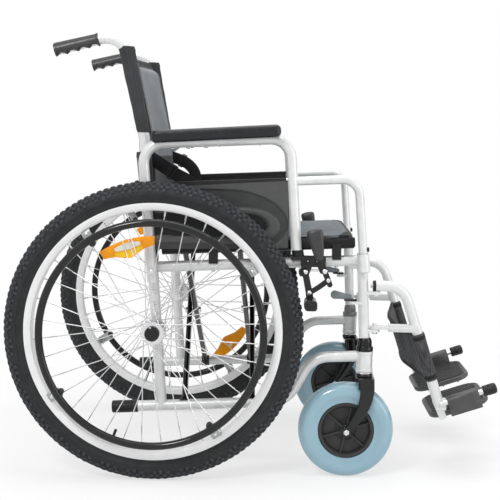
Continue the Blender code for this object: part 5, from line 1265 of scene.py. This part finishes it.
def brace(name, side, offsets):
    """Two arms from shoes on one lower rail up to the seat rail of the other side."""
    p = Piece()
    rise = (SEAT_RAIL_Z - LOWER_RAIL_Z) * cos(PITCH)
    low_y, high_y = side * FRAME_Y, -side * FRAME_Y

    def lifted(x, y, up):
        return across_rails(x, y, up, LOWER_RAIL_Z)

    slant = (lifted(0, high_y, rise) - lifted(0, low_y, 0)).normalized()
    square = slant.cross(RAIL_WAY)
    shoe = []
    for radius, turns in ((0.0134, range(17)), (0.0115, range(16, -1, -1))):
        for turn in [radians(-88 + 11 * k) for k in turns]:
            shoe.append((radius * cos(turn), radius * sin(turn)))
    weld = mm(10.8, 0, 12.2, 1.2, 12.2, 3, 10.8, 4.2)
    for centre, offset in zip(BRACE_X, offsets):
        x = centre + offset * BRACE_PITCH / 2
        foot, top = lifted(x, low_y, 0), lifted(x, high_y, rise)
        path = [(foot + slant * 0.0116, slant), (top - slant * 0.004, slant)]
        p.sweep(path, oblong(ARM_DEPTH, 0.02, 0.0035, 3), BLACK_PAINT, RAIL_WAY)
        ends = [foot + RAIL_WAY * reach for reach in (-0.009, 0.009)]
        p.rings([[end + slant * a + square * b for a, b in shoe] for end in ends], BLACK_PAINT)
        for reach in (-0.0093, 0.0051):
            p.ring(weld, top + RAIL_WAY * reach, 24, BLACK_PAINT, RAIL_WAY)
    start, end = across_rails(0.012, high_y, 0), across_rails(0.4, high_y, 0)
    p.rod(start, end, TUBE_R, BLACK_PAINT, 24)
    for point, way in ((start, -RAIL_WAY), (end, RAIL_WAY)):
        p.turned(mm(0, 0, 11.2, 0, 11.2, 1.6, 10, 3, 0, 3.6), point, 24, PLASTIC, way)
    if side < 0:
        reach = (BRACE_PITCH + ARM_DEPTH) / 2
        for centre in BRACE_X:
            rear, front = centre - reach - 0.003, centre + reach + 0.0052
            p.rod(lifted(rear, 0, rise / 2), lifted(front, 0, rise / 2), 0.0039, STEEL, 16)
            for way in (1, -1):
                point, out = lifted(centre + way * reach, 0, rise / 2), RAIL_WAY * way
                p.turned(mm(0, 0, 7.8, 0, 7.8, 1, 0, 1), point, 24, STEEL, out)
                p.bolt(point + out * 0.0009, 0.0066, 0.004, out)
    p.done(name, name)


# Seat and backrest


def puffed(made, pressure, cap, free):
    """Swells a padded shape with a short cloth simulation. free is how much a point may move, 0 to 1."""
    context = bpy.context
    for other in context.view_layer.objects:
        other.select_set(False)
    context.view_layer.objects.active = made
    made.select_set(True)
    mesher = made.modifiers.new("remesh", "REMESH")
    mesher.mode = "VOXEL"
    mesher.voxel_size = 0.005
    apply_all(made)
    rest = [v.co.copy() for v in made.data.vertices]
    shares = [free(v) for v in rest]
    held = made.vertex_groups.new(name="held")
    for i, share in enumerate(shares):
        held.add([i], 1.0 - share, "REPLACE")
    fabric = made.modifiers.new("cloth", "CLOTH")
    settings = fabric.settings
    settings.quality, settings.mass = 5, 0.3
    settings.use_pressure, settings.uniform_pressure_force = True, pressure
    settings.tension_stiffness = settings.compression_stiffness = 12
    settings.bending_stiffness = 0.4
    settings.vertex_group_mass = "held"
    settings.effector_weights.gravity = 0.0
    fabric.point_cache.frame_start = 1
    fabric.point_cache.frame_end = 20
    for step in range(1, 21):
        context.scene.frame_set(step)
    apply_all(made)
    context.scene.frame_set(1)
    for vertex, before, share in zip(made.data.vertices, rest, shares):
        moved = vertex.co - before
        limit = cap * share
        if moved.length > limit:
            vertex.co = before + moved.normalized() * limit if limit > 0 else before
    made.vertex_groups.clear()
    finer = made.modifiers.new("finer", "SUBSURF")
    finer.levels = 1
    finer.render_levels = 1
    apply_all(made)


def apply_all(made):
    graph = bpy.context.evaluated_depsgraph_get()
    mesh = bpy.data.meshes.new_from_object(made.evaluated_get(graph))
    made.modifiers.clear()
    made.data = mesh


def paint_by_place(made, choose, looks):
    """Gives each face the look that choose picks for its middle."""
    made.data.materials.clear()
    for look in looks:
        made.data.materials.append(look)
    for face in made.data.polygons:
        face.material_index = choose(face.center)
        face.use_smooth = True


def merge(parts, name):
    """Several mesh objects as one, each face keeping its material."""
    looks = []
    bm = bmesh.new()
    for part in parts:
        own = list(part.data.materials)
        looks += [look for look in own if look not in looks]
        start = len(bm.faces)
        bm.from_mesh(part.data)
        bm.faces.ensure_lookup_table()
        for face in bm.faces[start:]:
            face.material_index = looks.index(own[face.material_index])
            face.smooth = True
        bpy.data.objects.remove(part, do_unlink=True)
    mesh = bpy.data.meshes.new(name)
    bm.to_mesh(mesh)
    bm.free()
    mesh.set_sharp_from_angle(angle=radians(50))
    return linked(mesh, name, looks)


def stitches(p, points):
    for a, b in zip(points, points[1:]):
        p.rod(a, a + (b - a) * 0.6, 0.0004, BLACK_CLOTH, 5)


SEAT_X = (0.012, 0.405)
SEAT_OUT = 0.2585
SEAT_BORDER_Y = 0.2385
SEAT_EDGE = 0.009


def seat_frame(point):
    """A world point as its place along the seat rails, its Y and its height over their axis."""
    c, s = cos(PITCH), sin(PITCH)
    x, z = point.x - SHIFT, point.z - SEAT_RAIL_Z
    return x * c + z * s, point.y, -x * s + z * c


def seat():
    """One padded sling from rail to rail, rolled over both, with a sewn black border."""
    p = Piece()
    count_x, count_y, edge_rows = 60, 96, 6
    rear, front = SEAT_X
    rings = []
    for i in range(count_x + 1):
        top, low = [], []
        for j in range(count_y + 1):
            t = -1 + 2 * j / count_y
            y, far = t * (SEAT_OUT - 0.0006), abs(t)
            patch_x = front - max(SEAT_EDGE, 0.034 * (1 - (SEAT_BORDER_Y - abs(y)) / 0.13))
            ahead = i - count_x + edge_rows
            if ahead <= 0:
                x = rear + (patch_x - rear) * i / (count_x - edge_rows)
            else:
                x = patch_x + (front - patch_x) * ahead / edge_rows
            s = (x - rear) / (front - rear)
            edge = min(x - rear, front - x)
            roll = 0.0 if edge > 0.01 else 0.0036 * (1 - edge / 0.01) ** 2
            swell = sin(pi * min(1.0, 1.15 * (1 - far) + 0.02)) if far > 0.45 else 1.0
            crown = 0.0052 * swell * sin(pi * (0.08 + 0.84 * s)) ** 0.5
            lip = 0.0045 * max(0.0, (far - 0.955) / 0.045) ** 2
            shape = max(0.0, (far - 0.9) / 0.1) ** 2 * max(0.0, (abs(s - 0.5) - 0.4) / 0.1)
            placed = x - copysign(0.01 * shape, s - 0.5)
            crease = 0.0007 * sin(92 * x + 9 * y) * sin(7 * y + 31 * x) * (1 - far)
            under = 0.0082 if abs(y) < FRAME_Y - 0.0135 else 0.0118
            top.append(across_rails(placed, y, 0.0142 + crown + crease - lip - roll))
            low.append(across_rails(placed, y, under + roll * 0.3))
        rings.append(top + low[::-1])
    p.rings(rings, SEAT_CLOTH)
    made = object_of(p.bm, "seat_cloth", [SEAT_CLOTH])

    def free(point):
        x, y, up = seat_frame(point)
        side = limited((FRAME_Y - 0.02 - abs(y)) / 0.03)
        return side * limited(min(x - rear, front - x) / 0.02) if up > 0.01 else 0.0

    puffed(made, 3.0, 0.0045, free)

    def choose(point):
        x, y, up = seat_frame(point)
        border = abs(y) > SEAT_BORDER_Y or up < 0.0095
        ends = x > front - SEAT_EDGE or x < rear + SEAT_EDGE
        corner = (front - x) / 0.034 + (SEAT_BORDER_Y - abs(y)) / 0.13 < 1
        return 1 if border or ends or corner else 0

    paint_by_place(made, choose, [SEAT_CLOTH, BLACK_CLOTH])
    trim = Piece()
    turns = [radians(62 - 92 * k / 12) for k in range(13)]
    outline = [(FRAME_Y + 0.0135 * cos(turn), 0.0135 * sin(turn)) for turn in turns]
    outline += [(FRAME_Y + 0.0116 * cos(turn), 0.0116 * sin(turn)) for turn in turns[::-1]]
    stitched = steps_between(rear + 0.014, front - 0.014, 0.0052)
    for side in SIDES:
        stations = (rear + 0.0005, rear + 0.004, front - 0.004, front - 0.0005)
        trim.rings([[across_rails(x, side * y, up) for y, up in outline] for x in stations], BLACK_CLOTH)
        for y in (0.2395, 0.235):
            stitches(trim, [across_rails(x, side * y, 0.0156) for x in stitched])
    whole = merge([made, trim.form("seat_trim", 0, 50)], "seat")
    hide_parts("seat_right", "seat_left")
    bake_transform(whole)


BACK_Z = (0.44, 0.8745)
NOTCH_Z = (0.662, 0.702)


def back():
    """A padded sling, sewn to a sleeve on each cane. It is made whole, then parted in the middle."""
    p = Piece()
    rows, columns = 84, 96
    foot, head = BACK_Z
    rings = []
    for i in range(rows + 1):
        s = i / rows
        z = foot + (head - foot) * s
        reach = FRAME_Y - TUBE_R - 0.0005
        if NOTCH_Z[0] + 0.002 < z < NOTCH_Z[1] - 0.002:
            reach -= 0.006 * min(1.0, min(z - NOTCH_Z[0], NOTCH_Z[1] - z) / 0.008)
        edge = min(s, 1 - s) * (head - foot)
        pinch = 1.0 if edge > 0.012 else 0.45 + 0.55 * sqrt(max(1 - (1 - edge / 0.012) ** 2, 0))
        top_edge = head - 0.018 - z
        full = 1.0 - max(0.0, 1 - top_edge / 0.016) ** 2 if top_edge > 0 else 0.0
        full *= limited((z - foot) / 0.02)
        front, rear = [], []
        for j in range(columns + 1):
            t = -1 + 2 * j / columns
            y, far = reach * t, abs(t)
            half = 0.0042 * pinch * (1.0 if far < 0.92 else 1 - 0.5 * (far - 0.92) / 0.08)
            swell = full * sqrt(limited(1 - max(0.0, (abs(y) - 0.214) / 0.016)))
            ahead = (0.0165 + 0.0035 * cos(pi * 2.2 * (far - 0.75))) * swell
            x = cane_x(z) - 0.028 * cos(pi / 2 * far) ** 0.7
            front.append(Vector((x + half + ahead * (0.8 + 0.2 * far) + SHIFT, y, z)))
            rear.append(Vector((x - half + SHIFT, y, z)))
        rings.append(front + rear[::-1])
    p.rings(rings, GREY_CLOTH)
    made = object_of(p.bm, "back_cloth", [GREY_CLOTH])

    def free(point):
        side = limited((FRAME_Y - 0.026 - abs(point.y)) / 0.03)
        return side * limited(min(point.z - foot, head - 0.028 - point.z) / 0.02)

    puffed(made, 3.0, 0.003, free)

    def choose(point):
        ahead = point.x - SHIFT - cane_x(point.z)
        if abs(point.y) > 0.2175 or point.z > head - 0.02 or ahead < 0.004 and abs(point.y) > 0.205:
            return 1
        if point.z < 0.65:
            return 2
        return 3 if abs(point.y) > 0.2 else 0

    paint_by_place(made, choose, [GREY_CLOTH, BLACK_CLOTH, CHARCOAL, EDGE_MESH])
    for side, name in SIDES.items():
        half = linked(made.data.copy(), "half", [])
        bm = bmesh.new()
        bm.from_mesh(half.data)
        whole = bm.verts[:] + bm.edges[:] + bm.faces[:]
        cut = {"plane_co": (0, side * MIDDLE_GAP, 0), "plane_no": (0, -side, 0), "clear_outer": True}
        cut_items = bmesh.ops.bisect_plane(bm, geom=whole, **cut)["geom_cut"]
        rim = [item for item in cut_items if isinstance(item, bmesh.types.BMEdge)]
        for face in bmesh.ops.holes_fill(bm, edges=rim)["faces"]:
            face.material_index = 0
        bm.to_mesh(half.data)
        bm.free()
        piece = merge([half, sleeve_trim(side)], "back_" + name + "_cloth")
        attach(piece, "side_frame_" + name)
        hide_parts("back_" + name)
        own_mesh(piece)
    bpy.data.objects.remove(made, do_unlink=True)


def sleeve_trim(side):
    """The sleeves round the cane, with their turned hems, and the seam beside the padding."""
    p = Piece(side)
    sleeves = ((BACK_Z[0], NOTCH_Z[0], 0.003, 0.0034), (NOTCH_Z[1], BACK_Z[1], 0.0042, 0.0))
    for low, high, wider, shift in sleeves:
        rings = []
        for s in [i / 26 for i in range(27)]:
            z = low + (high - low) * s
            edge = min(s, 1 - s) * (high - low)
            lip = 0.0008 if 0.0015 < edge < 0.01 else (-0.0006 if edge <= 0.0015 else 0.0)
            wave = 0.0005 * sin(s * 19 + side) * sin(s * 7.3)
            reach = max(0.0128 + wider * s + lip + wave, 0.0119)
            x = cane_x(z) - shift * s
            turns = [tau * k / 32 for k in range(32)]
            rings.append([p.at(x + reach * cos(a), FRAME_Y + (0.0124 + lip) * sin(a), z) for a in turns])
        p.rings(rings, CHARCOAL)
    heights = steps_between(0.655, BACK_Z[1] - 0.034, 0.0056)
    stitches(p, [p.at(cane_x(z) + 0.0163, 0.2185, z) for z in heights])
    return p.form("back_trim", 0, 50)


BELT_PATHS = {
    -1: (
        (-0.021, 0.231, 0.652), (-0.006, 0.2303, 0.643), (0.011, 0.2295, 0.632), (0.032, 0.228, 0.6185),
        (0.056, 0.227, 0.606), (0.078, 0.2265, 0.59), (0.086, 0.227, 0.565), (0.085, 0.2275, 0.535),
        (0.081, 0.2275, 0.51), (0.079, 0.227, 0.49),
    ),
    1: (
        (-0.022, 0.231, 0.648), (-0.014, 0.2303, 0.6461), (0.0, 0.2295, 0.6415), (0.0141, 0.2285, 0.6358),
        (0.028, 0.2275, 0.6265), (0.0395, 0.227, 0.612), (0.0455, 0.2265, 0.591), (0.0475, 0.227, 0.56),
        (0.046, 0.2275, 0.525), (0.045, 0.227, 0.488),
    ),
}


def lap_belt(side):
    """A belt of webbing that leaves the cane, slopes ahead inside the guard and hangs down to the seat."""
    p = Piece(side)
    path = smooth([p.at(*place) for place in BELT_PATHS[side]], 8)
    stations = [(point, along, along.cross(SIDEWAYS).normalized()) for point, along in path]
    section = oblong(0.027, 0.0022, 0.0009)
    rings = []
    for point, along, across in stations:
        rings.append([point + across * a + along.cross(across) * b for a, b in section])
    p.rings(rings, WEBBING)
    for edge in (-0.0105, 0.0105):
        stitches(p, [point + across * edge + p.out * 0.0012 for point, _, across in stations[::2]])
    centre, along, across = stations[round(len(path) * 0.3)]
    for offset, reach in ((along * 0.0045, across * 0.015), (across * 0.015, along * 0.0055)):
        for way in (-1, 1):
            middle = centre + offset * way + p.out * 0.0024
            p.rod(middle - reach, middle + reach, 0.0013, PLASTIC, 12)
    made = p.done(None, "side_frame", 0, 45, "lap_belt")
    length = sum((b[0] - a[0]).length for a, b in zip(path, path[1:]))
    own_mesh(made)


# Stage: camera, floor, backdrop and lights


def placed_in_scene(name, data):
    made = bpy.data.objects.new(name, data)
    bpy.context.scene.collection.objects.link(made)
    return made


def camera():
    data = bpy.data.cameras.new("camera")
    data.sensor_width = 36.0
    data.lens = 1174.08 * 36.0 / 500
    made = placed_in_scene("camera", data)
    right = Vector((0.99952, 0.02354, 0.01994))
    up = Vector((-0.02202, 0.09196, 0.99552))
    back = right.cross(up).normalized()
    up = back.cross(right).normalized()
    turn = Matrix((right, up, back)).transposed()
    made.matrix_world = Matrix.Translation((0.2418 + SHIFT, -2.6428, 0.6888)) @ turn.to_4x4()
    bpy.context.scene.camera = made


def white_rays(tree):
    """1 for what the camera, mirror-like surfaces and clear ones see, and 0 for light on the object."""
    rays = node(tree, "ShaderNodeLightPath", {}).outputs
    return joined(tree, "MAXIMUM", rays["Is Camera Ray"], rays["Is Glossy Ray"], rays["Is Transmission Ray"])


def floor():
    """A pale floor that keeps the shadow near the chair and fades to white away from it."""
    made, tree, shade = shader("floor")
    pale = ramp(tree, noisy(tree, 3.0), 0.93, 0.95)
    feed(tree, shade, {"Base Color": pale, "Roughness": 0.9, "Specular IOR Level": 0.1})
    reach = node(tree, "ShaderNodeVectorMath", {0: places(tree)}, operation="LENGTH").outputs["Value"]
    fading = {"Value": reach, "From Min": 0.55, "From Max": 1.5, "To Min": 0.62}
    fade = node(tree, "ShaderNodeMapRange", fading)
    white = node(tree, "ShaderNodeEmission", {"Strength": 1.0}).outputs["Emission"]
    seen = node(tree, "ShaderNodeMixShader", {"Fac": white_rays(tree), 1: shade.outputs["BSDF"], 2: white})
    faded = {"Fac": fade.outputs["Result"], 1: shade.outputs["BSDF"], 2: seen.outputs["Shader"]}
    surface_out = node(tree, "ShaderNodeMixShader", faded).outputs["Shader"]
    feed(tree, tree.nodes["Material Output"], {"Surface": surface_out})
    bm = bmesh.new()
    bmesh.ops.create_grid(bm, x_segments=1, y_segments=1, size=12.0)
    object_of(bm, "floor", [made])


def world():
    """Soft light on the object, and white where the world itself is seen."""
    made = bpy.data.worlds.new("studio")
    made.use_nodes = True
    bpy.context.scene.world = made
    tree = made.node_tree
    tree.nodes.clear()
    feeds = {"Fac": white_rays(tree)}
    for key, strength in ((1, 0.62), (2, 1.0)):
        plain_white = {"Color": (1.0, 1.0, 1.0, 1.0), "Strength": strength}
        feeds[key] = node(tree, "ShaderNodeBackground", plain_white).outputs["Background"]
    mixed_light = node(tree, "ShaderNodeMixShader", feeds).outputs["Shader"]
    node(tree, "ShaderNodeOutputWorld", {"Surface": mixed_light})


def lamp(name, place, target, size, power):
    data = bpy.data.lights.new(name, "AREA")
    data.shape = "RECTANGLE"
    data.size, data.size_y = size
    data.energy = power
    made = placed_in_scene(name, data)
    made.location = place
    made.rotation_euler = (Vector(target) - Vector(place)).to_track_quat("-Z", "Y").to_euler()


SIDE_PIECES = (
    side_frame, rear_post, push_grip, tip_cap, armrest, arm_pad, side_guard, arm_latch,
    tyre, rear_wheel, handrim, reflector, rear_axle, caster_wheel, caster_fork, caster_boot,
    brake_bracket, brake_lever, brake_link, brake_shoe,
    hanger, footplate, bumper, release, calf_strap, lap_belt,
)
for side in SIDES:
    for make in SIDE_PIECES:
        make(side)
brace("brace_a", -1, (-1, 1))
brace("brace_b", 1, (1, -1))
seat()
back()
camera()
floor()
world()
lamp("key", (-1.2, -2.6, 2.6), (0, 0, 0.45), (0.75, 0.75), 42)
lamp("top", (0.2, 0.0, 2.9), (0, 0, 0.3), (2.4, 2.0), 34)
lamp("side", (2.4, -1.2, 1.2), (0, 0, 0.5), (1.0, 1.8), 14)
bpy.context.scene.view_settings.view_transform = "Standard"
